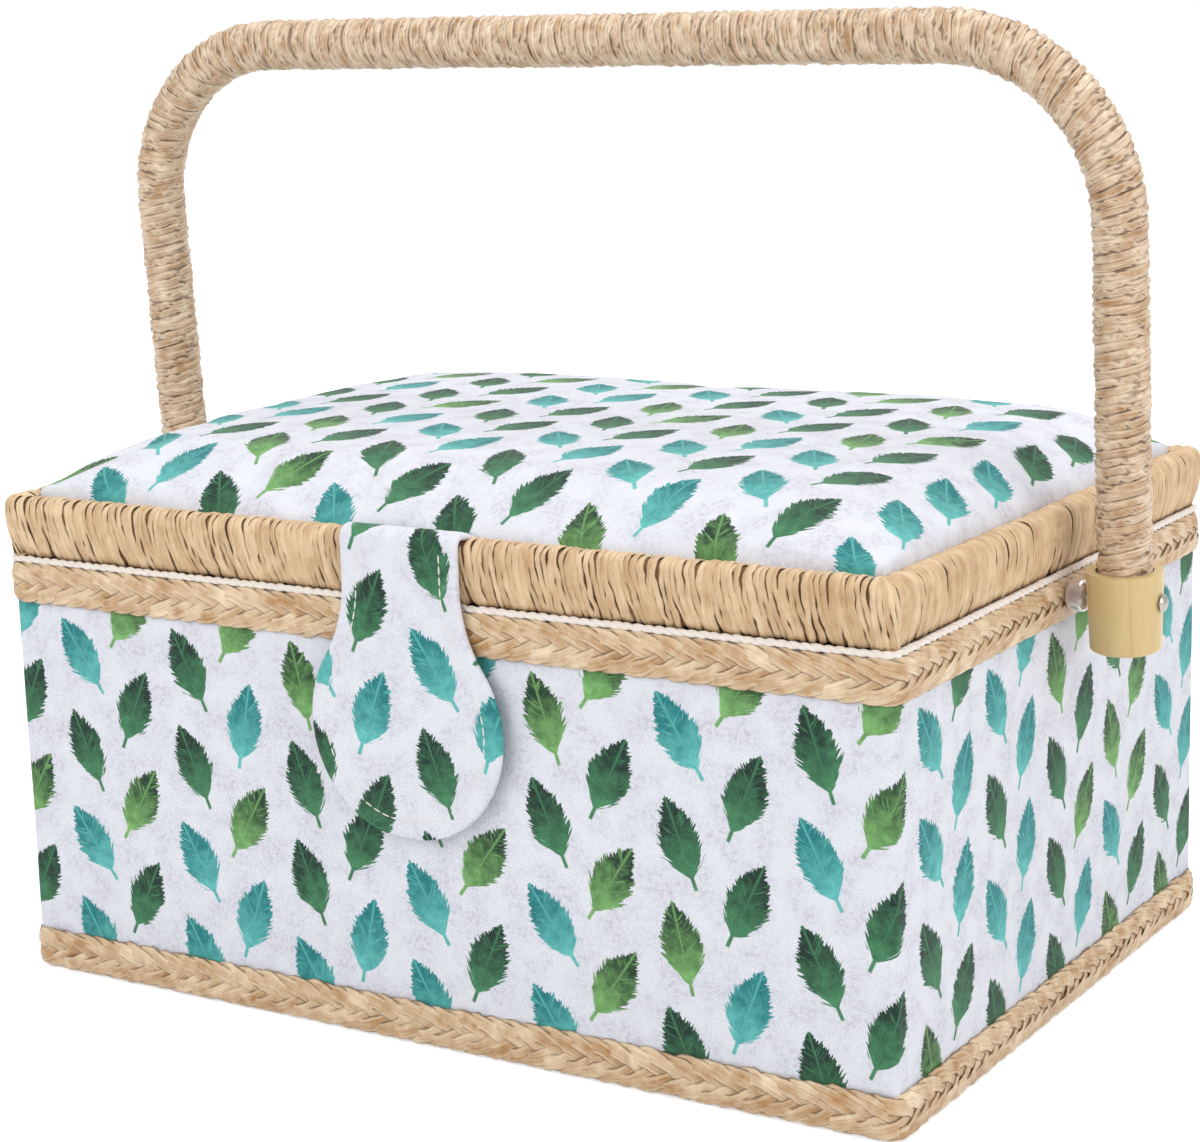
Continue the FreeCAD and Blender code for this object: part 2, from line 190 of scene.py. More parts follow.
class RaffiaSettings(bpy.types.PropertyGroup):
    """Wound and plaited raffia"""

    strip_light: colour_property("Strip, light", "Light tone of the raffia wound round the rim", "#E4CAA5")
    strip_dark: colour_property("Strip, dark", "Dark tone of the raffia wound round the rim", "#B48E62")
    braid_light: colour_property("Braid, light", "Light tone of the plaited raffia", "#EDD8B8")
    braid_dark: colour_property("Braid, dark", "Dark tone of the plaited raffia", "#A87840")
    # Partly painted highlight: the twine's light tone is raised to the brightness of its glints
    twine_light_and_glint: colour_property("Twine, light", "Light tone of the handle's twine", "#F7E4C9")
    twine_dark: colour_property("Twine, dark", "Dark tone of the handle's twine", "#A27545")
    # Painted shade: this dark colour stands in for the shadow in the slits between strips, strands and turns, on
    # their edges and on the layers under the windings
    shadow: colour_property("Slits", "Dark raffia that shows between the strips", "#573516")
    cord: colour_property("Cord", "Cotton cord above the upper braid", "#F6EDE4")
    strip_width: length_property("Strip width", "Width of one wound strip", 2.3 * MM)
    strip_spacing: length_property("Strip spacing", "Distance between two strips round the rim", 1.88 * MM)
    strip_slant: bpy.props.FloatProperty(
        name="Strip slant", description="Lean of the strips", default=math.radians(8), subtype="ANGLE"
    )
    braid_pitch: length_property("Braid pitch", "Length in which a strand crosses over and back", 43 * MM)
    strand_width: length_property("Strand width", "Width of one strand of a braid", 4.5 * MM)
    twine_pitch: length_property("Twine pitch", "Distance between two turns on the handle", 2.4 * MM)


class StageSettings(bpy.types.PropertyGroup):
    """Camera, lights and backdrop"""

    lens: bpy.props.FloatProperty(
        name="Lens", description="Focal length of the camera", default=84.6, min=1, unit="CAMERA"
    )
    backdrop: colour_property("Backdrop", "Floor and background", "#F7F7F7")
    sky: bpy.props.FloatProperty(name="Sky", description="Strength of the even light all round", default=0.6)
    key: bpy.props.FloatProperty(
        name="Key", description="Power of the large lamp in front", default=8.6, min=0, unit="POWER"
    )


def wire(node, links):
    """Fills a node's inputs, by name or in order: with a value, a socket, or a node's first output.

    Map Range takes its range in as 1 and 2 and its range out as 3 and 4; Mix takes colours as 6 and 7.
    """
    for key, source in links.items() if isinstance(links, dict) else enumerate(links):
        if isinstance(source, bpy.types.Node):
            source = next(socket for socket in source.outputs if socket.enabled)
        if isinstance(source, bpy.types.NodeSocket):
            node.id_data.links.new(source, node.inputs[key])
        else:
            node.inputs[key].default_value = source


def adder(tree):
    """A function that adds one node to a tree with its links and settings; kinds go without their family."""
    def node(kind, links=(), operation=None, **settings):
        family = next(name for name in NODE_FAMILIES if hasattr(bpy.types, name + kind))
        made = tree.nodes.new(family + kind)
        if operation:
            made.operation = operation
        for name, value in settings.items():
            setattr(made, name, value)
        wire(made, links)
        return made
    return node


def new_material(name):
    """A node material, the function that adds its nodes, and the shader on its output."""
    material = bpy.data.materials.new(name)
    material.use_nodes = True
    material.node_tree.nodes.clear()
    node = adder(material.node_tree)
    shader = node("BsdfPrincipled")
    node("OutputMaterial", {"Surface": shader})
    return material, node, shader


def weave_height(node, uv, pitch):
    """Plain weave: threads pass over and under each other in a chequer, with the odd thicker thread."""
    turns = node("VectorMath", {0: uv, "Scale": 2 * math.pi / pitch}, "SCALE")
    slub = node("TexNoise", {"Vector": uv, "Scale": 0.35 / pitch, "Detail": 1.0})
    loose = node("VectorMath", [turns, slub.outputs["Color"]], "ADD")
    across, along, _ = node("SeparateXYZ", [loose]).outputs
    warp = node("Math", [across], "SINE")
    weft = node("Math", [along], "SINE")
    return node("Math", [warp, weft], "MULTIPLY")


def leaf_print(node, uv, cloth):
    """Half-drop repeat of painted leaves: returns how much ink there is and its colour."""
    size = (cloth.repeat_across, cloth.repeat_along, 1)
    place = node("VectorMath", [uv, size], "DIVIDE")
    place_x, place_y, _ = node("SeparateXYZ", [place]).outputs
    column = node("Math", [place_x], "FLOOR")
    half = node("Math", [column, 0.5], "MULTIPLY")
    drop = node("Math", [half], "FRACT")
    height = node("Math", [place_y, drop], "ADD")
    dropped = node("CombineXYZ", {"X": place_x, "Y": height})
    cell = node("VectorMath", [dropped], "FLOOR")
    chance = node("TexWhiteNoise", {"Vector": cell}, noise_dimensions="2D")
    inside = node("VectorMath", [dropped], "FRACTION")
    middle = node("VectorMath", [inside, (0.5, 0.5, 0)], "SUBTRACT")
    local = node("VectorMath", [middle, size], "MULTIPLY")
    lean = node("MapRange", {"Value": drop, 2: 0.5, 3: -0.42, 4: 0.42})
    spread = node("MapRange", {"Value": chance.outputs["Value"], 3: -0.22, 4: 0.22})
    angle = node("Math", [lean, spread], "ADD")
    turned = node("VectorRotate", {"Vector": local, "Angle": angle}, rotation_type="Z_AXIS")
    leaf_x, leaf_y, _ = node("SeparateXYZ", [turned]).outputs
    across = node("Math", [leaf_x], "ABSOLUTE")
    along = node("Math", [leaf_y, 1 / cloth.leaf_length, 0.5], "MULTIPLY_ADD")
    rest = node("Math", [1.0, along], "SUBTRACT")
    hump = node("Math", [along, rest], "MULTIPLY")
    inner = node("Math", [hump, 0.0], "MAXIMUM")
    taper = node("MapRange", {"Value": along, 3: 4.8, 4: 3.2})
    round_off = node("Math", [inner, taper], "MULTIPLY")
    half_width = node("Math", [round_off, cloth.leaf_width / 2], "MULTIPLY")
    # Brush strokes run out along the side ribs and leave a ragged edge about a millimetre deep
    slope = node("Math", [across, -0.95, leaf_y], "MULTIPLY_ADD")
    stroke_x = node("Math", [slope, 1 / (0.75 * MM)], "MULTIPLY")
    stroke_y = node("Math", [leaf_x, 1 / (4.5 * MM)], "MULTIPLY")
    stroke_z = node("Math", [chance.outputs["Value"], LEAF_APART], "MULTIPLY")
    stroke_place = node("CombineXYZ", {"X": stroke_x, "Y": stroke_y, "Z": stroke_z})
    stroke = node("TexNoise", {"Vector": stroke_place, "Scale": 1.0, "Detail": 3.0})
    ragged = node("MapRange", {"Value": stroke, 1: 0.3, 2: 0.7, 3: -1.4 * MM, 4: 1.1 * MM})
    fade = node("Math", [inner, 8.0], "MULTIPLY", use_clamp=True)
    edge_shift = node("Math", [ragged, fade], "MULTIPLY")
    reach = node("Math", [half_width, across], "SUBTRACT")
    edge = node("Math", [reach, edge_shift], "ADD")
    blade = node("MapRange", {"Value": edge, 1: 0.05 * MM, 2: 0.5 * MM}, interpolation_type="SMOOTHSTEP")
    below = node("MapRange", {"Value": along, 1: -0.13, 2: -0.11})
    above = node("MapRange", {"Value": along, 1: 0.06, 2: 0.02})
    thin = node("MapRange", {"Value": across, 1: 0.75 * MM, 2: 0.4 * MM})
    stalk_height = node("Math", [below, above], "MULTIPLY")
    stalk = node("Math", [stalk_height, thin], "MULTIPLY")
    ink = node("Math", [blade, stalk], "MAXIMUM")
    # Washes run from light at the foot to dark at the tip, with pale flecks between the strokes
    wash = node("TexNoise", {"Vector": uv, "Scale": 1 / (4 * MM), "Detail": 4.0, "Roughness": 0.65})
    falling = node("MapRange", {"Value": along, 1: 0.1, 2: 0.85, 3: 0.0, 4: -0.75})
    tone = node("Math", [wash, 1.3, falling], "MULTIPLY_ADD", use_clamp=True)
    fleck = node("MapRange", {"Value": stroke, 1: 0.54, 2: 0.68, 4: 0.55})
    midrib = node("MapRange", {"Value": across, 1: 0.55 * MM, 2: 0.15 * MM, 4: 0.5})
    pale = node("Math", [fleck, midrib], "MAXIMUM")
    tint = node("Math", [tone, pale], "MAXIMUM")
    pick = node("SeparateColor", [chance.outputs["Color"]])
    is_pine = node("Math", [pick.outputs["Red"], 0.40], "GREATER_THAN")
    is_leaf = node("Math", [pick.outputs["Red"], 0.72], "GREATER_THAN")
    shades = []
    for teal, pine, fresh in (
        (cloth.teal_dark, cloth.pine_dark, cloth.leaf_dark),
        (cloth.teal_light, cloth.pine_light, cloth.leaf_light),
    ):
        first = node("Mix", {0: is_pine, 6: tuple(teal), 7: tuple(pine)}, data_type="RGBA")
        shades.append(node("Mix", {0: is_leaf, 6: first, 7: tuple(fresh)}, data_type="RGBA"))
    colour = node("Mix", {0: tint, 6: shades[0], 7: shades[1]}, data_type="RGBA")
    return ink, colour


def printed_cotton(cloth):
    """Plain-weave cotton, screen printed: dead matt, a little fuzzy at grazing angles, threads just visible."""
    name = "printed plain-weave cotton"
    if name in bpy.data.materials:
        return bpy.data.materials[name]
    material, node, shader = new_material(name)
    uv = node("UVMap", uv_map="cloth")
    ink, colour = leaf_print(node, uv, cloth)
    mottle = node("TexNoise", {"Vector": uv, "Scale": 1 / (9 * MM), "Detail": 3.0})
    cloud = node("MapRange", {"Value": mottle, 1: 0.4, 2: 0.62})
    speck = node("TexNoise", {"Vector": uv, "Scale": 1 / (1.6 * MM), "Detail": 3.0, "Roughness": 0.7})
    ghost = node("MapRange", {"Value": speck, 1: 0.46, 2: 0.6, 3: 0.25, 4: 1.0})
    faint = node("Math", [cloud, ghost], "MULTIPLY")
    ground = node("Mix", {0: faint, 6: tuple(cloth.ground), 7: tuple(cloth.ground_shade)}, data_type="RGBA")
    printed = node("Mix", {0: ink, 6: ground, 7: colour}, data_type="RGBA")
    # Real threads are about 0.35 mm apart; they are drawn coarser so that they show
    threads = weave_height(node, uv, cloth.weave)
    # Painted shade: the colour darkens where the threads dip under each other
    shade = node("MapRange", {"Value": threads, 1: -1.0, 3: 0.9, 4: 1.0})
    weave_shaded = node("Mix", {0: 1.0, 6: printed, 7: shade}, data_type="RGBA", blend_type="MULTIPLY")
    bump = node("Bump", {"Height": threads, "Strength": 0.35, "Distance": 0.15 * MM})
    wire(shader, {
        "Base Color": weave_shaded, "Roughness": 0.88, "Specular IOR Level": 0.25, "Normal": bump,
        "Sheen Weight": 0.12, "Sheen Roughness": 0.5,
    })
    return material


def lining_cotton(cloth):
    """Unprinted plain-weave cotton: warm white, matt, with painted shade in the dips of the threads and along faint
    creases.
    """
    material, node, shader = new_material("plain-weave lining cotton")
    uv = node("UVMap", uv_map="cloth")
    threads = weave_height(node, uv, cloth.weave)
    soft = node("TexNoise", {"Vector": uv, "Scale": 1 / (18 * MM), "Detail": 5.0})
    mixed = node("Math", [threads, 0.1, soft], "MULTIPLY_ADD")
    # Painted shade: darker where the threads dip and along the creases
    shade = node("MapRange", {"Value": mixed, 1: 0.2, 2: 0.8, 3: 0.9, 4: 1.0})
    weave_shaded = node("Mix", {0: 1.0, 6: tuple(cloth.lining), 7: shade}, data_type="RGBA", blend_type="MULTIPLY")
    bump = node("Bump", {"Height": mixed, "Strength": 0.4, "Distance": 0.3 * MM})
    wire(shader, {"Base Color": weave_shaded, "Roughness": 0.9, "Specular IOR Level": 0.2, "Normal": bump})
    return material


def raffia(name, light, dark, shadow, roughness, fibre_width, fibre_length, edge_start):
    """Paper raffia: long fibres in streaks, satin along the strip, each strip its own tone, a paler band just inside
    its edges and painted shade darkening the edges themselves.

    The fibre width is a length on wound strips and a share of the width on strands.
    """
    material, node, shader = new_material(name)
    fibre = node("Attribute", attribute_name="fibre")
    run, breadth, own_tone = node("SeparateXYZ", [fibre.outputs["Vector"]]).outputs
    along = node("Math", [run, 1 / fibre_length], "MULTIPLY")
    across = node("Math", [breadth, 1 / fibre_width], "MULTIPLY")
    apart = node("Math", [own_tone, FIBRE_APART], "MULTIPLY")
    stretched = node("CombineXYZ", {"X": along, "Y": across, "Z": apart})
    streak = node("TexNoise", {"Vector": stretched, "Scale": 1.0, "Detail": 3.0, "Roughness": 0.6})
    place = node("TexCoord").outputs["Object"]
    blotch = node("TexNoise", {"Vector": place, "Scale": 1 / (5 * MM)})
    tone = node("Math", [own_tone, 0.3, blotch], "MULTIPLY_ADD")
    mixed = node("Math", [streak, 0.9, tone], "MULTIPLY_ADD")
    depth = node("MapRange", {"Value": mixed, 1: 0.75, 2: 1.5})
    body = node("Mix", {0: depth, 6: tuple(light), 7: tuple(dark)}, data_type="RGBA")
    edge = node("Attribute", attribute_name="edge")
    # A paler band just inside each edge
    near_edge = node("MapRange", {"Value": edge.outputs["Fac"], 1: 0.4, 2: edge_start, 4: 0.4})
    pale_edged = node("Mix", {0: near_edge, 6: body, 7: tuple(light)}, data_type="RGBA")
    broken = node("MapRange", {"Value": blotch, 1: 0.36, 2: 0.56, 3: 0.4, 4: 0.95})
    # Painted shade: at the very edge, and in the ply grooves stored with it, the colour runs to the slit shadow
    # colour in broken dashes
    line = node("MapRange", {"Value": edge.outputs["Fac"], 1: edge_start, 2: 1.0, 4: broken})
    colour = node("Mix", {0: line, 6: pale_edged, 7: tuple(shadow)}, data_type="RGBA")
    gloss = node("MapRange", {"Value": streak, 1: 0.3, 2: 0.7, 3: roughness, 4: roughness + 0.2})
    bump = node("Bump", {"Height": streak, "Strength": 0.8, "Distance": 0.35 * MM})
    wire(shader, {
        "Base Color": colour, "Roughness": gloss, "Specular IOR Level": 0.5, "IOR": 1.5, "Normal": bump,
    })
    return material


def under_raffia(settings):
    """Raffia under a winding, dull and coloured dark as painted shade, so that the slits between the turns read as
    deep.
    """
    name = "raffia under the winding"
    return bpy.data.materials.get(name) or raffia(
        name, hex_colour("#8B6A45"), settings.shadow, settings.shadow,
        roughness=0.8, fibre_width=0.4 * MM, fibre_length=9 * MM, edge_start=0.9,
    )


def cotton_cord(colour):
    """Twisted cotton cord: soft off-white yarn with fine fibres along each ply."""
    material, node, shader = new_material("twisted cotton cord")
    fibre = node("Attribute", attribute_name="fibre")
    stretched = node("VectorMath", [fibre.outputs["Vector"], (400.0, 9.0, 31.0)], "MULTIPLY")
    yarn = node("TexNoise", {"Vector": stretched, "Scale": 1.0, "Detail": 3.0})
    shade = node("MapRange", {"Value": yarn, 1: 0.25, 2: 0.75, 3: 0.82, 4: 1.0})
    toned = node("Mix", {0: 1.0, 6: tuple(colour), 7: shade}, data_type="RGBA", blend_type="MULTIPLY")
    bump = node("Bump", {"Height": yarn, "Strength": 0.5, "Distance": 0.15 * MM})
    wire(shader, {"Base Color": toned, "Roughness": 0.9, "Specular IOR Level": 0.2, "Normal": bump})
    return material


def cotton_thread(colour):
    """Sewing thread: pale twisted cotton with a fine diagonal ply."""
    material, node, shader = new_material("twisted sewing thread")
    place = node("TexCoord").outputs["Object"]
    ply = node("TexNoise", {"Vector": place, "Scale": 1 / (0.3 * MM)})
    shade = node("MapRange", {"Value": ply, 1: 0.3, 2: 0.7, 3: 0.85, 4: 1.0})
    toned = node("Mix", {0: 1.0, 6: tuple(colour), 7: shade}, data_type="RGBA", blend_type="MULTIPLY")
    bump = node("Bump", {"Height": ply, "Strength": 0.4, "Distance": 0.1 * MM})
    wire(shader, {"Base Color": toned, "Roughness": 0.75, "Normal": bump})
    return material


def moulded_plastic(name, light, dark, seam_x):
    """Moulded satin plastic with the streaks of cut bamboo: soft highlight, long faint streaks, one mould line."""
    material, node, shader = new_material(name)
    place = node("TexCoord").outputs["Object"]
    stretched = node("VectorMath", [place, (520.0, 520.0, 26.0)], "MULTIPLY")
    streak = node("TexNoise", {"Vector": stretched, "Scale": 1.0, "Detail": 3.0})
    depth = node("MapRange", {"Value": streak, 1: 0.3, 2: 0.75})
    colour = node("Mix", {0: depth, 6: hex_colour(light), 7: hex_colour(dark)}, data_type="RGBA")
    place_x, _, _ = node("SeparateXYZ", [place]).outputs
    beside = node("Math", [place_x], "ABSOLUTE")
    off = node("Math", [beside, seam_x], "SUBTRACT")
    away = node("Math", [off], "ABSOLUTE")
    seam = node("MapRange", {"Value": away, 1: 0.4 * MM, 2: 0.1 * MM, 4: 0.25})
    seamed = node("Mix", {0: seam, 6: colour, 7: hex_colour("#A88A4C")}, data_type="RGBA")
    grain = node("Math", [streak, 0.12, seam], "MULTIPLY_ADD")
    bump = node("Bump", {"Height": grain, "Strength": 0.4, "Distance": 0.1 * MM})
    gloss = node("MapRange", {"Value": streak, 3: 0.3, 4: 0.42})
    wire(shader, {
        "Base Color": seamed, "Roughness": gloss, "IOR": 1.49, "Normal": bump,
        "Subsurface Weight": 0.1, "Subsurface Radius": (1.0, 0.7, 0.4), "Subsurface Scale": 1.5 * MM,
    })
    return material


def clear_plastic():
    """Clear moulded plastic, faintly pink: see-through with bright edges and slightly cloudy inside."""
    material, node, shader = new_material("clear moulded plastic")
    place = node("TexCoord").outputs["Object"]
    cloud = node("TexNoise", {"Vector": place, "Scale": 1 / (1.5 * MM)})
    colour = node("Mix", {0: cloud, 6: hex_colour("#EBE0DE"), 7: hex_colour("#D3C4C2")}, data_type="RGBA")
    gloss = node("MapRange", {"Value": cloud, 3: 0.14, 4: 0.3})
    wire(shader, {"Base Color": colour, "Roughness": gloss, "IOR": 1.49, "Transmission Weight": 0.6})
    return material


def plated_steel():
    """Nickel-plated steel: bright and slightly warm, with fine polishing scratches."""
    material, node, shader = new_material("nickel-plated steel")
    place = node("TexCoord").outputs["Object"]
    stretched = node("VectorMath", [place, (200.0, 2600.0, 2600.0)], "MULTIPLY")
    scratch = node("TexNoise", {"Vector": stretched, "Scale": 1.0})
    colour = node("Mix", {0: scratch, 6: hex_colour("#B9B4AB"), 7: hex_colour("#979188")}, data_type="RGBA")
    gloss = node("MapRange", {"Value": scratch, 3: 0.18, 4: 0.34})
    bump = node("Bump", {"Height": scratch, "Strength": 0.15, "Distance": 0.05 * MM})
    wire(shader, {"Base Color": colour, "Metallic": 1.0, "Roughness": gloss, "Normal": bump})
    return material


def grey_board():
    """Pressed grey board: matt pulp with pale and dark flecks."""
    material, node, shader = new_material("pressed grey board")
    place = node("TexCoord").outputs["Object"]
    pulp = node("TexNoise", {"Vector": place, "Scale": 1 / (0.8 * MM), "Detail": 4.0})
    colour = node("Mix", {0: pulp, 6: hex_colour("#B3ACA0"), 7: hex_colour("#8C857A")}, data_type="RGBA")
    bump = node("Bump", {"Height": pulp, "Strength": 0.3, "Distance": 0.1 * MM})
    wire(shader, {"Base Color": colour, "Roughness": 0.95, "Specular IOR Level": 0.2, "Normal": bump})
    return material


def piece(name, mesh, material):
    """Puts a finished mesh in the scene with its material and smooth faces."""
    obj = bpy.data.objects.new(name, mesh)
    bpy.context.scene.collection.objects.link(obj)
    mesh.materials.clear()
    mesh.materials.append(material)
    mesh.shade_smooth()
    return obj


def shaped(obj):
    """A plain mesh of the object as its modifiers shape it."""
    graph = bpy.context.evaluated_depsgraph_get()
    return bpy.data.meshes.new_from_object(obj.evaluated_get(graph), preserve_all_data_layers=True, depsgraph=graph)


def settle(obj):
    """Turns the object's modifiers into its plain mesh."""
    mesh = shaped(obj)
    obj.modifiers.clear()
    obj.data = mesh


def thicken(obj, thickness):
    """Gives a cloth its thickness behind its faces."""
    solid = obj.modifiers.new("Thickness", "SOLIDIFY")
    solid.thickness = thickness
    solid.offset = -1
    settle(obj)


def soften(obj):
    """Rounds a mesh with one subdivision."""
    smooth = obj.modifiers.new("Smooth", "SUBSURF")
    smooth.levels = smooth.render_levels = 1
    settle(obj)


def outline(offset, spacing, corner=None):
    """Points and outward directions round the box's rounded plan, from the middle of the back, anticlockwise.

    The same spacing gives the same number of points at every offset. Lengths run from the first point to its return.
    """
    radius = corner or max(corner_radius + offset, least_corner_radius)
    x = half_length + offset - radius
    y = half_depth + offset - radius
    across = round(half_length / spacing)
    along = round(half_depth / spacing)
    bend = 6
    legs = (
        ((0, y), (-x, y), 1, 1, across), ((-x, y), (-x, y), 1, 2, bend), ((-x, y), (-x, -y), 2, 2, 2 * along),
        ((-x, -y), (-x, -y), 2, 3, bend), ((-x, -y), (x, -y), 3, 3, 2 * across), ((x, -y), (x, -y), 3, 4, bend),
        ((x, -y), (x, y), 4, 4, 2 * along), ((x, y), (x, y), 4, 5, bend), ((x, y), (0, y), 5, 5, across),
    )
    points = []
    outs = []
    for start, end, turn, last_turn, steps in legs:
        for step in range(steps):
            share = step / steps
            angle = math.pi / 2 * (turn + (last_turn - turn) * share)
            out = Vector((math.cos(angle), math.sin(angle)))
            points.append(Vector(start).lerp(Vector(end), share) + radius * out)
            outs.append(out)
    lengths = [0.0]
    for place in range(len(points)):
        lengths.append(lengths[-1] + (points[(place + 1) % len(points)] - points[place]).length)
    return np.array(points), np.array(outs), np.array(lengths)


def grid_mesh(name, points, uvs, closed=False):
    """A grid of points, rows by columns, with a UV map in metres; closed joins the last column to the first."""
    rows, columns = points.shape[:2]
    faces = []
    corners = []
    for row in range(rows - 1):
        for column in range(columns if closed else columns - 1):
            ahead = (column + 1) % columns
            first, second = row * columns, (row + 1) * columns
            faces.append((first + column, first + ahead, second + ahead, second + column))
            corners += [uvs[row, column], uvs[row, column + 1], uvs[row + 1, column + 1], uvs[row + 1, column]]
    mesh = bpy.data.meshes.new(name)
    mesh.from_pydata(points.reshape(-1, 3).tolist(), [], faces)
    mesh.uv_layers.new(name="cloth").data.foreach_set("uv", np.array(corners, np.float32).ravel())
    return mesh


def wall_mesh(name, profile, spacing, ripple):
    """A band round the box through (offset, height) pairs, with small even waves so that it isn't dead flat."""
    lengths = outline(0, spacing)[2]
    count = len(lengths) - 1
    points = np.zeros((len(profile), count, 3))
    uvs = np.zeros((len(profile), count + 1, 2))
    down = 0.0
    for row, (offset, height) in enumerate(profile):
        plan, outs, _ = outline(offset, spacing)
        if row:
            down += math.dist(profile[row], profile[row - 1])
        for column in range(count):
            wave = ripple * noise.noise(Vector((*plan[column], height)) * RIPPLES)
            points[row, column] = *(plan[column] + wave * outs[column]), height
        uvs[row, :, 0] = lengths
        uvs[row, :, 1] = profile[0][1] + down
    return grid_mesh(name, points, uvs, closed=True)


def rounded(x, y, low, high, radius):
    """A place in a rectangle, drawn in where it lies outside the rounded corners."""
    inner = Vector((min(max(x, low[0] + radius), high[0] - radius), min(max(y, low[1] + radius), high[1] - radius)))
    arm = Vector((x, y)) - inner
    if arm.length > radius:
        arm.length = radius
    return inner + arm


def panel_mesh(name, low, high, radius, height, spacing, ripple):
    """A flat rounded panel between two corners, as a grid that follows its rounded corners."""
    across = np.linspace(low.x, high.x, max(2, int((high.x - low.x) / spacing)))
    along = np.linspace(low.y, high.y, max(2, int((high.y - low.y) / spacing)))
    points = np.zeros((len(along), len(across), 3))
    uvs = np.zeros((len(along), len(across), 2))
    for row, y in enumerate(along):
        for column, x in enumerate(across):
            spot = rounded(x, y, low, high, radius)
            lift = ripple * noise.noise(Vector((spot.x, spot.y, height)) * RIPPLES)
            points[row, column] = spot.x, spot.y, height + lift
            uvs[row, column] = x, y
    return grid_mesh(name, points, uvs)


def path_mesh(name, points, outs, closed):
    """A line of points that carries an outward direction for what follows it."""
    mesh = bpy.data.meshes.new(name)
    edges = [(place, place + 1) for place in range(len(points) - 1)]
    if closed:
        edges.append((len(points) - 1, 0))
    mesh.from_pydata([tuple(p) for p in points], edges, [])
    mesh.attributes.new("out", "FLOAT_VECTOR", "POINT").data.foreach_set("vector", np.array(outs, np.float32).ravel())
    return mesh


def plan_path(name, offset, height, spacing, corner):
    """A closed path round the box at one height, and its length."""
    plan, outs, lengths = outline(offset, spacing, corner)
    points = [(*spot, height) for spot in plan]
    return path_mesh(name, points, [(*out, 0.0) for out in outs], closed=True), lengths[-1]


def new_tree(name, inputs):
    """A geometry node tree, the function that adds its nodes, and its inputs: the geometry and those named."""
    tree = bpy.data.node_groups.new(name, "GeometryNodeTree")
    tree.interface.new_socket("Geometry", in_out="INPUT", socket_type="NodeSocketGeometry")
    for label, kind in inputs:
        tree.interface.new_socket(label, in_out="INPUT", socket_type=kind)
    tree.interface.new_socket("Geometry", in_out="OUTPUT", socket_type="NodeSocketGeometry")
    node = adder(tree)
    return tree, node, node("NodeGroupInput").outputs


def grow(name, host_mesh, tree, values):
    """Runs a tree on a host mesh and returns the result as a plain mesh."""
    host = bpy.data.objects.new(name, host_mesh)
    bpy.context.scene.collection.objects.link(host)
    modifier = host.modifiers.new("Nodes", "NODES")
    modifier.node_group = tree
    for item in tree.interface.items_tree:
        if item.in_out == "INPUT" and item.name in values:
            modifier[item.identifier] = values[item.name]
    mesh = shaped(host)
    mesh.name = name
    bpy.data.objects.remove(host)
    return mesh


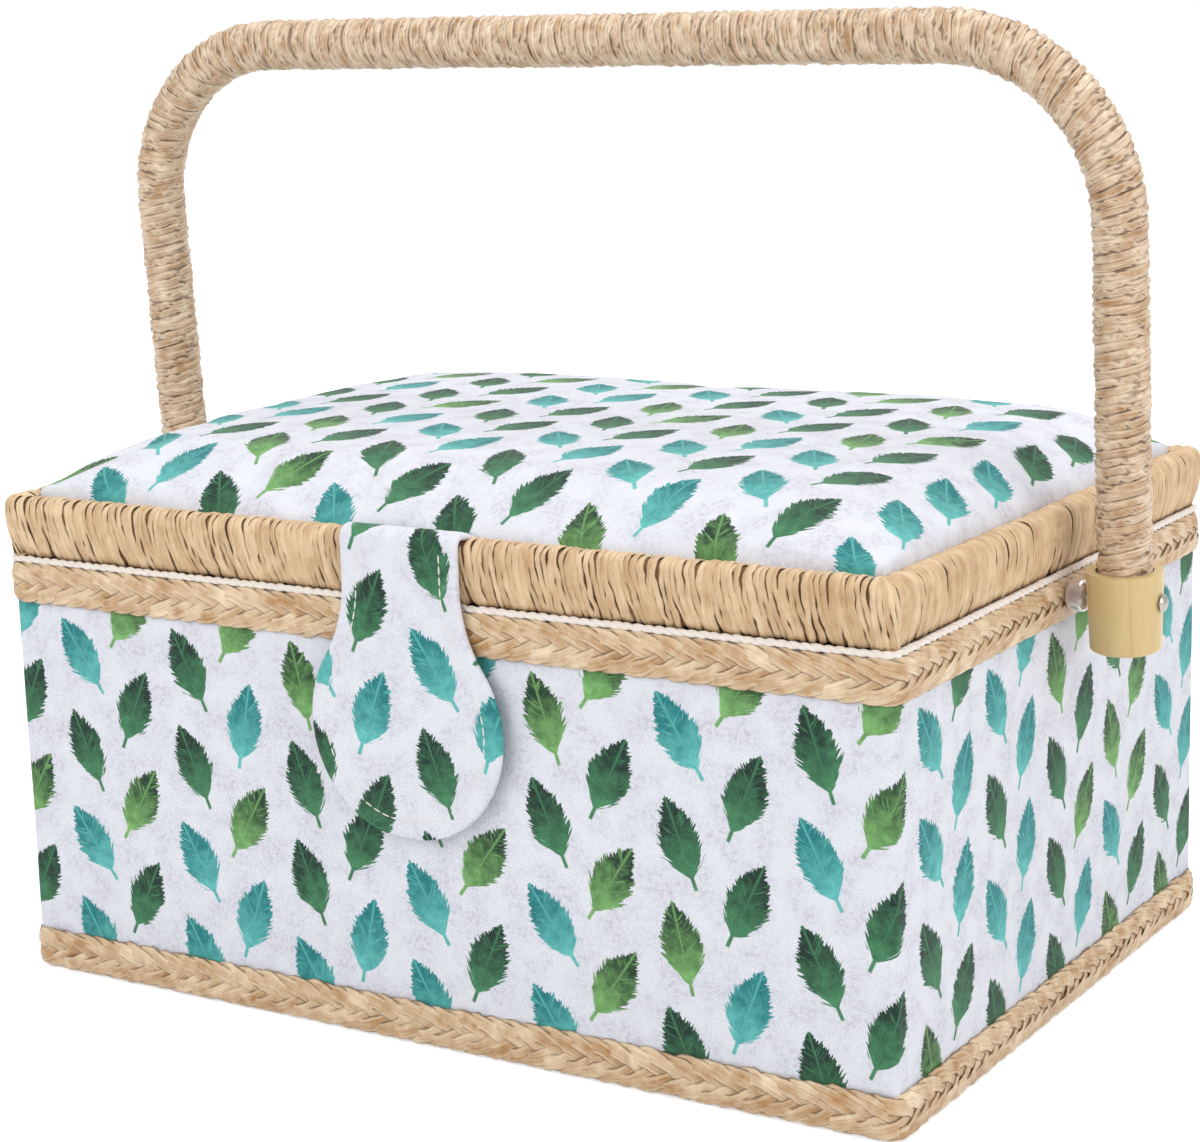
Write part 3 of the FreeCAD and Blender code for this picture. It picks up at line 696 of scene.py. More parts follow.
def strand_tree():
    """Strands that weave or wind along a path: sway goes sideways, lift goes outwards."""
    title = "Strands along a path"
    if title in bpy.data.node_groups:
        return bpy.data.node_groups[title]
    number, whole, vector = "NodeSocketFloat", "NodeSocketInt", "NodeSocketVector"
    tree, node, given = new_tree(title, [
        ("Strands", whole), ("Step", number), ("Pitch", number), ("Sway", number), ("Lift", number),
        ("Lift cycles", number), ("Lift phase", number), ("Hug", number), ("Roll", number), ("Wobble", number),
        ("Section", vector), ("Sides", whole), ("Edge", number), ("Ply depth", number), ("Ply length", number),
        ("Groove", number), ("Jitter", vector), ("Jitter scale", number), ("Uneven", number), ("Crumple", number),
        ("Crumple scale", number), ("Seed", number), ("Material", "NodeSocketMaterial"),
    ])
    path = node("MeshToCurve", {"Mesh": given["Geometry"]})
    even = node("ResampleCurve", {"Curve": path, "Length": given["Step"]}, mode="LENGTH")
    several = node("DuplicateElements", {0: even, "Amount": given["Strands"]}, domain="SPLINE")
    which = several.outputs["Duplicate Index"]
    share = node("Math", [which, given["Strands"]], "DIVIDE")
    travel = node("SplineParameter").outputs["Length"]
    cycles = node("Math", [travel, given["Pitch"]], "DIVIDE")
    phase = node("Math", [cycles, share], "ADD")
    swing = node("Math", [phase, 2 * math.pi], "MULTIPLY")
    left = node("Math", [swing], "SINE")
    rise_turn = node("Math", [swing, given["Lift cycles"], given["Lift phase"]], "MULTIPLY_ADD")
    rise = node("Math", [rise_turn], "SINE")
    stored = node("InputNamedAttribute", {"Name": "out"}, data_type="FLOAT_VECTOR")
    out = node("VectorMath", [stored], "NORMALIZE")
    ahead = node("InputTangent")
    side = node("VectorMath", [ahead, out], "CROSS_PRODUCT")
    sway = node("Math", [left, given["Sway"]], "MULTIPLY")
    lift = node("Math", [rise, given["Lift"]], "MULTIPLY")
    sideways = node("VectorMath", {0: side, "Scale": sway}, "SCALE")
    outwards = node("VectorMath", {0: out, "Scale": lift}, "SCALE")
    wound = node("VectorMath", [sideways, outwards], "ADD")
    apart = node("Math", [which, STRAND_APART, given["Seed"]], "MULTIPLY_ADD")
    place = node("InputPosition")
    unrest = node("TexNoise", {"Vector": place, "W": apart, "Scale": given["Jitter scale"]}, noise_dimensions="4D")
    centred = node("VectorMath", [unrest.outputs["Color"], (0.5, 0.5, 0.5)], "SUBTRACT")
    shaken = node("VectorMath", [centred, given["Jitter"]], "MULTIPLY")
    shakes = node("SeparateXYZ", [shaken]).outputs
    moved = wound
    for direction, amount in zip((side, out, ahead), shakes):
        nudge = node("VectorMath", {0: direction, "Scale": amount}, "SCALE")
        moved = node("VectorMath", [moved, nudge], "ADD")
    # The facing is kept before the points move, because the direction round a turn comes from the path
    radial = node("VectorMath", [wound], "NORMALIZE")
    facing = node("Mix", {0: given["Hug"], 4: out, 5: radial}, data_type="VECTOR")
    marked = node("StoreNamedAttribute", {0: several, "Name": "facing", "Value": facing}, data_type="FLOAT_VECTOR")
    # Strands lean so that each one laps over the next, and wander a little from that
    wander = node("Math", [unrest, 0.5], "SUBTRACT")
    wobble = node("Math", [wander, given["Wobble"]], "MULTIPLY")
    roll = node("Math", [left, given["Roll"], wobble], "MULTIPLY_ADD")
    rolled = node("StoreNamedAttribute", {0: marked, "Name": "roll", "Value": roll})
    laid = node("SetPosition", {0: rolled, "Offset": moved})
    kept = node("InputNamedAttribute", {"Name": "facing"}, data_type="FLOAT_VECTOR")
    turned = node("SetCurveNormal", {"Curve": laid, "Normal": kept}, mode="FREE")
    length = node("SplineParameter").outputs["Length"]
    spin = node("InputNamedAttribute", {"Name": "roll"})
    spun = node("SetCurveTilt", {"Curve": turned, "Tilt": spin})
    along = node("StoreNamedAttribute", {0: spun, "Name": "along", "Value": length})
    tone = node("RandomValue", {"ID": which})
    toned = node("StoreNamedAttribute", {0: along, "Name": "tone", "Value": tone})
    ring = node("CurvePrimitiveCircle", {"Resolution": given["Sides"], "Radius": 0.5})
    ring_place = node("InputPosition")
    _, ring_y, _ = node("SeparateXYZ", [ring_place]).outputs
    flat = node("VectorMath", [ring_place, given["Section"]], "MULTIPLY")
    # How near each point of the section lies to the strand's edge, where the raffia material paints shade
    wide = node("Math", [ring_y], "ABSOLUTE")
    rim_edge = node("Math", [wide, given["Edge"]], "MULTIPLY")
    around = node("SplineParameter").outputs["Factor"]
    profile = ring
    for name, value in (("across", ring_y), ("around", around), ("edge", rim_edge)):
        profile = node("StoreNamedAttribute", {0: profile, "Name": name, "Value": value})
    profile = node("SetPosition", {0: profile, "Position": flat})
    swell = node("TexNoise", {"W": length, "Scale": given["Jitter scale"], "Detail": 1.0}, noise_dimensions="1D")
    spread = node("Math", [swell, 0.5], "SUBTRACT")
    scale = node("Math", [spread, given["Uneven"], 1.0], "MULTIPLY_ADD")
    body = node("CurveToMesh", {"Curve": toned, "Profile Curve": profile, "Scale": scale, "Fill Caps": True})
    crease = node("TexNoise", {"Vector": place, "Scale": given["Crumple scale"]})
    centred_crease = node("Math", [crease, 0.5], "SUBTRACT")
    crumple = node("Math", [centred_crease, given["Crumple"]], "MULTIPLY")
    # Two plies twist round each other and leave a groove that winds along the strand
    ring_share, run, near_edge = (node("InputNamedAttribute", {"Name": name}) for name in ("around", "along", "edge"))
    twists = node("Math", [run, given["Ply length"]], "DIVIDE")
    slow = node("TexNoise", {"W": twists, "Scale": 0.6, "Detail": 1.0}, noise_dimensions="1D")
    uneven = node("Math", [slow, 2.5, twists], "MULTIPLY_ADD")
    lap = node("Math", [ring_share, uneven], "ADD")
    lap_turn = node("Math", [lap, 4 * math.pi], "MULTIPLY")
    ply = node("Math", [lap_turn], "COSINE")
    bulge = node("Math", [ply, given["Ply depth"], crumple], "MULTIPLY_ADD")
    normal = node("InputNormal")
    dent = node("VectorMath", {0: normal, "Scale": bulge}, "SCALE")
    # Painted shade: the groove between the plies is stored with the edges as 'edge', which the material darkens as
    # shadow
    groove = node("MapRange", {"Value": ply, 1: -0.25, 2: -0.95, 4: given["Groove"]})
    lined = node("Math", [groove, near_edge], "MAXIMUM")
    darkened = node("StoreNamedAttribute", {0: body, "Name": "edge", "Value": lined})
    creased = node("SetPosition", {0: darkened, "Offset": dent})
    finish_fibres(node, creased, given["Material"])
    return tree


def finish_fibres(node, body, material):
    """Stores length, place across and tone as one attribute, then the material, and ends the tree."""
    parts = [node("InputNamedAttribute", {"Name": name}) for name in ("along", "across", "tone")]
    fibre = node("CombineXYZ", parts)
    stored = node("StoreNamedAttribute", {0: body, "Name": "fibre", "Value": fibre}, data_type="FLOAT_VECTOR")
    real = node("RealizeInstances", [stored])
    coated = node("SetMaterial", {0: real, "Material": material})
    node("NodeGroupOutput", [coated])


def strip_tree():
    """Raffia strips laid side by side round the rim, each with its own width, lean and waves."""
    number = "NodeSocketFloat"
    tree, node, given = new_tree("Strips round the rim", [
        ("Strip", "NodeSocketObject"), ("Spacing", number), ("Slant", number), ("Slant spread", number),
        ("Width spread", number), ("Wave", number), ("Wave scale", number), ("Press", number),
        ("Seed", "NodeSocketInt"), ("Material", "NodeSocketMaterial"),
    ])
    path = node("MeshToCurve", {"Mesh": given["Geometry"]})
    spots = node("ResampleCurve", {"Curve": path, "Length": given["Spacing"]}, mode="LENGTH")
    tone = node("RandomValue", {"Seed": given["Seed"]})
    toned = node("StoreNamedAttribute", {0: spots, "Name": "tone", "Value": tone})
    out = node("InputNamedAttribute", {"Name": "out"}, data_type="FLOAT_VECTOR")
    loose = node("RandomValue", {2: -0.3 * MM, 3: 0.12 * MM, "Seed": 4})
    outwards = node("VectorMath", {0: out, "Scale": loose}, "SCALE")
    slack = node("SetPosition", {0: toned, "Offset": outwards})
    facing = node("AlignRotationToVector", {"Vector": out}, axis="X", pivot_axis="Z")
    low, high = (node("Math", [given["Slant"], given["Slant spread"]], way) for way in ("SUBTRACT", "ADD"))
    lean = node("RandomValue", {2: low, 3: high, "Seed": 1})
    lean_turn = node("CombineXYZ", {"X": lean})
    turned = node("RotateRotation", [facing, lean_turn], rotation_space="LOCAL")
    narrow, broad = (node("Math", [1.0, given["Width spread"]], way) for way in ("SUBTRACT", "ADD"))
    width = node("RandomValue", {2: narrow, 3: broad, "Seed": 2})
    height = node("RandomValue", {2: 0.975, 3: 1.03, "Seed": 3})
    size = node("CombineXYZ", {"X": 1.0, "Y": width, "Z": height})
    strip = node("ObjectInfo", {"Object": given["Strip"]})
    laid = node("InstanceOnPoints", {
        "Points": slack, "Instance": strip.outputs["Geometry"], "Rotation": turned, "Scale": size,
    })
    real = node("RealizeInstances", [laid])
    place = node("InputPosition")
    kept = node("InputNamedAttribute", {"Name": "tone"})
    apart = node("Math", [kept, STRIP_APART], "MULTIPLY")
    wave = node(
        "TexNoise", {"Vector": place, "W": apart, "Scale": given["Wave scale"], "Detail": 1.0}, noise_dimensions="4D"
    )
    centred = node("Math", [wave, 0.5], "SUBTRACT")
    amount = node("Math", [centred, given["Wave"]], "MULTIPLY")
    sideways = node("VectorMath", [(0, 0, 1), out], "CROSS_PRODUCT")
    shift = node("VectorMath", {0: sideways, "Scale": amount}, "SCALE")
    waved = node("SetPosition", {0: real, "Offset": shift})
    # The sewn end of the tab presses the strips down along the top of the front rim
    spot_x, spot_y, spot_z = node("SeparateXYZ", [place]).outputs
    beside = node("Math", [spot_x], "ABSOLUTE")
    under = node("MapRange", {"Value": beside, 1: tab_neck_half + 1 * MM, 2: tab_neck_half - 1 * MM})
    front = node("Math", [spot_y, 0.0], "LESS_THAN")
    upper = node("MapRange", {"Value": spot_z, 1: rim_high.z - 2.5 * MM, 2: rim_high.z - 1 * MM})
    covered = node("Math", [under, front], "MULTIPLY")
    pressed = node("Math", [covered, upper], "MULTIPLY")
    sunk = node("Math", [pressed, given["Press"]], "MULTIPLY")
    down = node("VectorMath", {0: (0, 0, -1), "Scale": sunk}, "SCALE")
    flattened = node("SetPosition", {0: waved, "Offset": down})
    finish_fibres(node, flattened, given["Material"])
    return tree


def stitch_tree():
    """Short stitches laid end to end along a seam."""
    number = "NodeSocketFloat"
    tree, node, given = new_tree("Stitches along a seam", [
        ("Spacing", number), ("Length", number), ("Thread", number), ("Material", "NodeSocketMaterial"),
    ])
    path = node("MeshToCurve", {"Mesh": given["Geometry"]})
    spots = node("ResampleCurve", {"Curve": path, "Length": given["Spacing"]}, mode="LENGTH")
    ahead = node("InputTangent")
    facing = node("AlignRotationToVector", {"Vector": ahead}, axis="Z")
    bead = node("MeshUVSphere", {"Segments": 6, "Rings": 5, "Radius": 0.5})
    size = node("CombineXYZ", {"X": given["Thread"], "Y": given["Thread"], "Z": given["Length"]})
    laid = node("InstanceOnPoints", {"Points": spots, "Instance": bead, "Rotation": facing, "Scale": size})
    real = node("RealizeInstances", [laid])
    coated = node("SetMaterial", {0: real, "Material": given["Material"]})
    node("NodeGroupOutput", [coated])
    return tree


def crown_profile(half, rise, spacing):
    """Places, heights and lengths along the padded lid from one rim to the other, evenly spaced on its surface."""
    # Steep at the rim, level where the flat middle begins
    t = np.linspace(0, 1, 400)
    inset = crown_run * t ** 2.5
    height = 1 - (1 - t) ** 2
    flat = np.linspace(crown_run, half, 200)[1:]
    inset = np.concatenate((inset, flat))
    height = np.concatenate((height, np.ones(len(flat))))
    steps = np.hypot(np.diff(inset), np.diff(height * rise))
    length = np.concatenate(((0,), np.cumsum(steps)))
    even = np.linspace(0, length[-1], int(length[-1] / spacing))
    side_inset = np.interp(even, length, inset)
    side_height = np.interp(even, length, height)
    place = np.concatenate((side_inset - half, (half - side_inset)[-2::-1]))
    heights = np.concatenate((side_height, side_height[-2::-1]))
    lengths = np.concatenate((even - length[-1], (length[-1] - even)[-2::-1]))
    return place, heights, lengths


def cushion_mesh(rise, spacing):
    """The padded top as a grid of places and cloth lengths that crowns from the rim."""
    half_x, half_y = crown_high.x, crown_high.y
    place_x, height_x, length_x = crown_profile(half_x, rise, spacing)
    place_y, height_y, length_y = crown_profile(half_y, rise, spacing)
    points = np.zeros((len(place_y), len(place_x), 3))
    uvs = np.zeros((len(place_y), len(place_x), 2))
    for row, y in enumerate(place_y):
        for column, x in enumerate(place_x):
            spot = rounded(x, y, (-half_x, -half_y), (half_x, half_y), lid_corner_radius)
            points[row, column] = spot.x, spot.y, rim_high.z + rise * height_x[column] * height_y[row]
            uvs[row, column] = length_x[column], length_y[row]
    return points, uvs


class SEWING_BOX_OT_stage(bpy.types.Operator):
    """Set the camera, lights, floor and background"""

    bl_idname = "sewing_box.stage"
    bl_label = "Stage"

    def execute(self, context):
        stage = context.scene.sewing_box_stage
        context.scene.view_settings.view_transform = "Standard"
        camera = bpy.data.cameras.new("Camera")
        camera.lens = stage.lens
        camera.sensor_fit = "HORIZONTAL"
        camera.clip_end = 20
        holder = bpy.data.objects.new("Camera", camera)
        context.scene.collection.objects.link(holder)
        right = Vector((0.84919405, 0.52725312, -0.02955691))
        up = Vector((-0.08545706, 0.19243869, 0.97758091))
        turn = Matrix((right, up, right.cross(up))).transposed().to_4x4()
        place = Vector((0.443906, -0.712350, 0.294638))
        holder.matrix_world = Matrix.Translation(place) @ turn
        context.scene.camera = holder
        self.light(context, stage)
        self.backdrop(context, stage)
        return {"FINISHED"}

    def light(self, context, stage):
        """One large soft lamp in front, a smaller one from the right and one from above."""
        centre = Vector((0, 0, 0.12))
        for name, place, size, power in (
            ("Key lamp", (-0.45, -1.3, 0.95), 1.2, stage.key),
            ("Side lamp", (1.4, -0.35, 0.75), 1.1, stage.key * 0.85),
            ("Top lamp", (0.1, 0.3, 1.5), 1.2, stage.key * 1.2),
        ):
            lamp = bpy.data.lights.new(name, "AREA")
            lamp.energy = power
            lamp.size = size
            holder = bpy.data.objects.new(name, lamp)
            holder.location = place
            holder.rotation_euler = (centre - holder.location).to_track_quat("-Z", "Y").to_euler()
            context.scene.collection.objects.link(holder)

    def backdrop(self, context, stage):
        """A pale floor that keeps a soft shadow and a background that the camera sees as white."""
        world = bpy.data.worlds.new("Studio")
        world.use_nodes = True
        context.scene.world = world
        world.node_tree.nodes.clear()
        node = adder(world.node_tree)
        strength = node("MapRange", {"Value": self.shown(node), 3: stage.sky, 4: 1.0})
        sky = node("Background", {"Color": (1, 1, 1, 1), "Strength": strength})
        node("OutputWorld", {"Surface": sky})
        material, node, shader = new_material("matt studio floor")
        place = node("TexCoord").outputs["Object"]
        speck = node("TexNoise", {"Vector": place, "Scale": 40.0, "Detail": 3.0})
        tone = node("MapRange", {"Value": speck, 3: 0.97, 4: 1.0})
        paint = node("Mix", {0: 1.0, 6: tuple(stage.backdrop), 7: tone}, data_type="RGBA", blend_type="MULTIPLY")
        lift = node("Math", [self.shown(node), 0.5], "MULTIPLY")
        wire(shader, {
            "Base Color": paint, "Roughness": 0.9, "Specular IOR Level": 0.1,
            "Emission Color": (1, 1, 1, 1), "Emission Strength": lift,
        })
        reach = 6.0
        mesh = bpy.data.meshes.new("Floor")
        corners = ((-reach, -reach), (reach, -reach), (reach, reach), (-reach, reach))
        mesh.from_pydata([(x, y, -0.5 * MM) for x, y in corners], [], [(0, 1, 2, 3)])
        floor = piece("Floor", mesh, material)

    def shown(self, node):
        """One for what the camera sees, straight or through gloss or glass, and none for light on the box."""
        ray = node("LightPath").outputs
        seen = node("Math", [ray["Is Camera Ray"], ray["Is Glossy Ray"]], "MAXIMUM")
        return node("Math", [seen, ray["Is Transmission Ray"]], "MAXIMUM")


class SEWING_BOX_OT_body_cloth(bpy.types.Operator):
    """Stretch printed cotton round the walls"""

    bl_idname = "sewing_box.body_cloth"
    bl_label = "Body cloth"

    def execute(self, context):
        rows = 34
        profile = [(0.0, z) for z in np.linspace(cover_low.z, wall_top, rows)]
        mesh = wall_mesh("Body_cloth", profile, spacing=cloth_spacing, ripple=0.22 * MM)
        cloth = piece("Body_cloth", mesh, printed_cotton(context.scene.sewing_box_cloth))
        thicken(cloth, cover_thickness)
        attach(cloth, "box")
        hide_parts("body_cover")
        around = outline(0, cloth_spacing)[2][-1]
        return {"FINISHED"}


class SEWING_BOX_OT_lid_cushion(bpy.types.Operator):
    """Pad the lid and cover it with printed cotton"""

    bl_idname = "sewing_box.lid_cushion"
    bl_label = "Padded lid"

    def execute(self, context):
        swell = pad_swell
        points, uvs = cushion_mesh(crown_high.z - rim_high.z - swell, cloth_spacing)
        settings = context.scene.sewing_box_cloth
        cushion = piece("Lid_cushion", grid_mesh("Lid_cushion", points, uvs), printed_cotton(settings))
        rows, columns = points.shape[:2]
        rim = [
            row * columns + column for row in range(rows) for column in range(columns)
            if row in (0, rows - 1) or column in (0, columns - 1)
        ]
        self.fill(context, cushion, rim, settings.pressure)
        self.tuck(cushion)
        soften(cushion)
        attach(cushion, "lid")
        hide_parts("lid_cover", "lid_pad")
        return {"FINISHED"}

    def fill(self, context, cushion, rim, pressure):
        """Blows the cloth out against its held edge, and caps how far it moves."""
        start = np.array([v.co for v in cushion.data.vertices])
        held = cushion.vertex_groups.new(name="held")
        held.add(rim, 1.0, "REPLACE")
        cloth = cushion.modifiers.new("Cloth", "CLOTH")
        sheet = cloth.settings
        sheet.vertex_group_mass = "held"
        sheet.quality = 6
        sheet.mass = 0.2
        sheet.tension_stiffness = sheet.compression_stiffness = 25
        sheet.shear_stiffness = 10
        sheet.bending_stiffness = 0.3
        sheet.shrink_min = -0.012
        sheet.use_pressure = True
        sheet.uniform_pressure_force = pressure
        sheet.effector_weights.gravity = 0
        cloth.point_cache.frame_start = 1
        cloth.point_cache.frame_end = CLOTH_FRAMES
        for number in range(1, CLOTH_FRAMES + 1):
            context.scene.frame_set(number)
        settle(cushion)
        context.scene.frame_set(1)
        for vertex, place in zip(cushion.data.vertices, start):
            move = vertex.co - Vector(place)
            if move.length > pad_swell:
                move.length = pad_swell
            vertex.co = Vector(place) + move
        cushion.vertex_groups.clear()

    def tuck(self, cushion):
        """Draws the edge of the cloth down behind the rim, under the pad."""
        shape = bmesh.new()
        shape.from_mesh(cushion.data)
        for depth in (0.3, 0.7, 1.0):
            edges = [edge for edge in shape.edges if edge.is_boundary]
            made = bmesh.ops.extrude_edge_only(shape, edges=edges)["geom"]
            height = rim_high.z - depth * (rim_high.z - pad_low.z)
            for vertex in (item for item in made if isinstance(item, bmesh.types.BMVert)):
                vertex.co.z = height
        bmesh.ops.recalc_face_normals(shape, faces=shape.faces)
        self.sort(shape)
        shape.to_mesh(cushion.data)
        shape.free()
        cushion.data.shade_smooth()

    def sort(self, shape):
        """Puts the parts of a shape in order of place, because extruding adds them in a different order each run."""
        for items, key in (
            (shape.verts, lambda vertex: tuple(vertex.co)),
            (shape.edges, lambda edge: sorted(vertex.index for vertex in edge.verts)),
            (shape.faces, lambda face: sorted(vertex.index for vertex in face.verts)),
        ):
            for place, item in enumerate(sorted(items, key=key)):
                item.index = place
            items.sort()


class SEWING_BOX_OT_rim_wrap(bpy.types.Operator):
    """Wind raffia strips round the lid's rim"""

    bl_idname = "sewing_box.rim_wrap"
    bl_label = "Rim winding"

    def execute(self, context):
        settings = context.scene.sewing_box_raffia
        material = raffia(
            "wound paper raffia", settings.strip_light, settings.strip_dark, settings.shadow,
            roughness=0.45, fibre_width=0.45 * MM, fibre_length=9 * MM, edge_start=0.78,
        )
        middle = (rim_low.z + rim_high.z) / 2
        path, total = plan_path("Rim_path", rim_overhang, middle, spacing=1.5 * MM, corner=rim_corner_radius)
        strip = self.strip(settings.strip_width)
        mesh = grow("Rim_winding", path, strip_tree(), {
            "Strip": strip, "Spacing": total / round(total / settings.strip_spacing), "Slant": settings.strip_slant,
            "Slant spread": math.radians(6), "Width spread": 0.25, "Wave": 2.6 * MM, "Wave scale": 1 / (4 * MM),
            "Press": 1.0 * MM, "Seed": SEED, "Material": material,
        })
        bpy.data.objects.remove(strip)
        winding = piece("Rim_winding", mesh, material)
        core = self.core(under_raffia(settings))
        for obj in (winding, core):
            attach(obj, "lid")
        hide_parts("rim_wrap")
        return {"FINISHED"}

    def section(self, count):
        """Evenly spaced points from under the rim, up its outer face and over its top: place, normal and length."""
        sag = 0.3 * MM
        inner_x = -rim_width * 0.7
        line = [(-rim_width, 0.0), (inner_x, -sag), (-rim_foot_draw, -sag)]
        # The foot is drawn in slowly and the top edge sharply
        for share in np.linspace(0, 1, 40):
            draw_in = rim_foot_draw * (1 - share) ** 3 + rim_top_draw * share ** 14
            line.append((-draw_in, rim_height * share))
        line += [(inner_x, rim_height), (-rim_width, rim_height - 1.2 * MM)]
        line = np.array(line)
        lengths = np.concatenate(((0,), np.cumsum(np.hypot(*np.diff(line, axis=0).T))))
        even = np.linspace(0, lengths[-1], count)
        spots = np.stack((np.interp(even, lengths, line[:, 0]), np.interp(even, lengths, line[:, 1])), 1)
        slopes = np.gradient(spots, axis=0)
        slopes /= np.linalg.norm(slopes, axis=1)[:, None]
        return [(spot, np.array((slope[1], -slope[0])), length) for spot, slope, length in zip(spots, slopes, even)]

    def strip(self, width):
        """One strip of raffia over the section, narrowest half way up and raised along its middle."""
        loop = self.section(20)
        # Share of the width, and height over the section
        rows = ((-0.5, -0.55 * MM), (-0.28, -0.05 * MM), (0.06, 0.15 * MM), (0.34, -0.05 * MM), (0.5, -0.5 * MM))
        points = []
        values = {"along": [], "across": [], "edge": []}
        for share, height in rows:
            for spot, normal, length in loop:
                waist = 1 - 0.1 * math.sin(math.pi * spot[1] / rim_height)
                raised = spot + height * normal
                points.append((raised[0], share * width * waist, raised[1] - rim_height / 2))
                values["along"].append(length)
                values["across"].append(share * width)
                # 'edge' rises from the middle of the strip to its sides, where the raffia material paints shade
                values["edge"].append(2 * abs(share))
        count = len(loop)
        faces = [
            (row * count + k, (row + 1) * count + k, (row + 1) * count + k + 1, row * count + k + 1)
            for row in range(len(rows) - 1) for k in range(count - 1)
        ]
        mesh = bpy.data.meshes.new("Strip")
        mesh.from_pydata(points, [], faces)
        for name, numbers in values.items():
            mesh.attributes.new(name, "FLOAT", "POINT").data.foreach_set("value", numbers)
        mesh.shade_smooth()
        obj = bpy.data.objects.new("Strip", mesh)
        bpy.context.scene.collection.objects.link(obj)
        return obj

    def core(self, material):
        """The layer of winding under the strips that shows in the slits, coloured dark as painted shade."""
        depth = 0.85 * MM
        rows = []
        for spot, normal, _ in self.section(20):
            inner = spot - depth * normal
            offset = rim_overhang + float(inner[0])
            plan, _, _ = outline(offset, 4 * MM, max(rim_corner_radius + float(inner[0]), least_corner_radius))
            rows.append(np.column_stack((plan, np.full(len(plan), rim_low.z + inner[1]))))
        points = np.array(rows)
        uvs = np.zeros((points.shape[0], points.shape[1] + 1, 2))
        return piece("Rim_under_layer", grid_mesh("Rim_under_layer", points, uvs, closed=True), material)


class SEWING_BOX_OT_braids(bpy.types.Operator):
    """Plait the two raffia braids round the body"""

    bl_idname = "sewing_box.braids"
    bl_label = "Braids"

    def execute(self, context):
        settings = context.scene.sewing_box_raffia
        material = raffia(
            "plaited glossy raffia", settings.braid_light, settings.braid_dark, settings.shadow,
            roughness=0.34, fibre_width=0.07, fibre_length=12 * MM, edge_start=0.79,
        )
        for name, solid, low, high, rise, jitter, crumple, wobble, seed in (
            ("Upper_braid", "upper_braid", upper_low, upper_high, 0.35 * MM, 1.2, 0.7, 0.4, 3.0),
            ("Lower_braid", "lower_braid", lower_low, lower_high, 0.0, 2.1, 1.6, 1.0, 8.0),
        ):
            height = high.z - low.z
            middle = (low.z + high.z) / 2 + rise
            path, total = plan_path(name, braid_offset, middle, spacing=2.5 * MM, corner=braid_corner_radius)
            mesh = grow(name, path, strand_tree(), {
                "Strands": 7, "Step": 1.05 * MM, "Pitch": total / round(total / settings.braid_pitch),
                "Sway": (height - settings.strand_width) / 2 + 0.2 * MM, "Lift": 0.55 * MM, "Lift cycles": 2.0,
                "Lift phase": math.pi, "Roll": math.radians(13), "Wobble": wobble,
                "Section": (1.0 * MM, settings.strand_width, 1.0), "Sides": 12, "Edge": 2.0,
                "Jitter": (jitter * MM, 0.4 * jitter * MM, jitter * MM), "Jitter scale": 1 / (7 * MM), "Uneven": 0.4,
                "Crumple": crumple * MM, "Crumple scale": 1 / (2.4 * MM), "Seed": seed, "Material": material,
            })
            # The box stands on the lower braid, which is pressed flat there
            for vertex in mesh.vertices:
                vertex.co.z = max(vertex.co.z, 0.0)
            braid = piece(name, mesh, material)
            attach(braid, "box")
            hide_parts(solid)
        return {"FINISHED"}


class SEWING_BOX_OT_piping(bpy.types.Operator):
    """Lay the twisted cord above the upper braid"""

    bl_idname = "sewing_box.piping"
    bl_label = "Cord"

    def execute(self, context):
        settings = context.scene.sewing_box_raffia
        material = cotton_cord(settings.cord)
        radius = (piping_high.z - piping_low.z) / 2
        plump = radius * 1.22
        offset = piping_high.x - half_length - radius - 0.3 * MM
        middle = piping_low.z + radius + 0.2 * MM
        path, total = plan_path("Piping", offset, middle, spacing=2 * MM, corner=3 * MM)
        mesh = grow("Piping", path, strand_tree(), {
            "Strands": 2, "Step": 0.35 * MM, "Pitch": total / round(total / (6.5 * MM)), "Sway": plump * 0.27,
            "Lift": plump * 0.27, "Lift cycles": 1.0, "Lift phase": math.pi / 2, "Hug": 1.0,
            "Section": (plump * 1.5, plump * 1.5, 1.0), "Sides": 8, "Jitter": (0.7 * MM, 0.3 * MM, 0.0),
            "Jitter scale": 1 / (6 * MM), "Uneven": 0.3, "Seed": 2.0, "Material": material,
        })
        cord = piece("Piping", mesh, material)
        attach(cord, "box")
        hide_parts("top_piping")
        return {"FINISHED"}


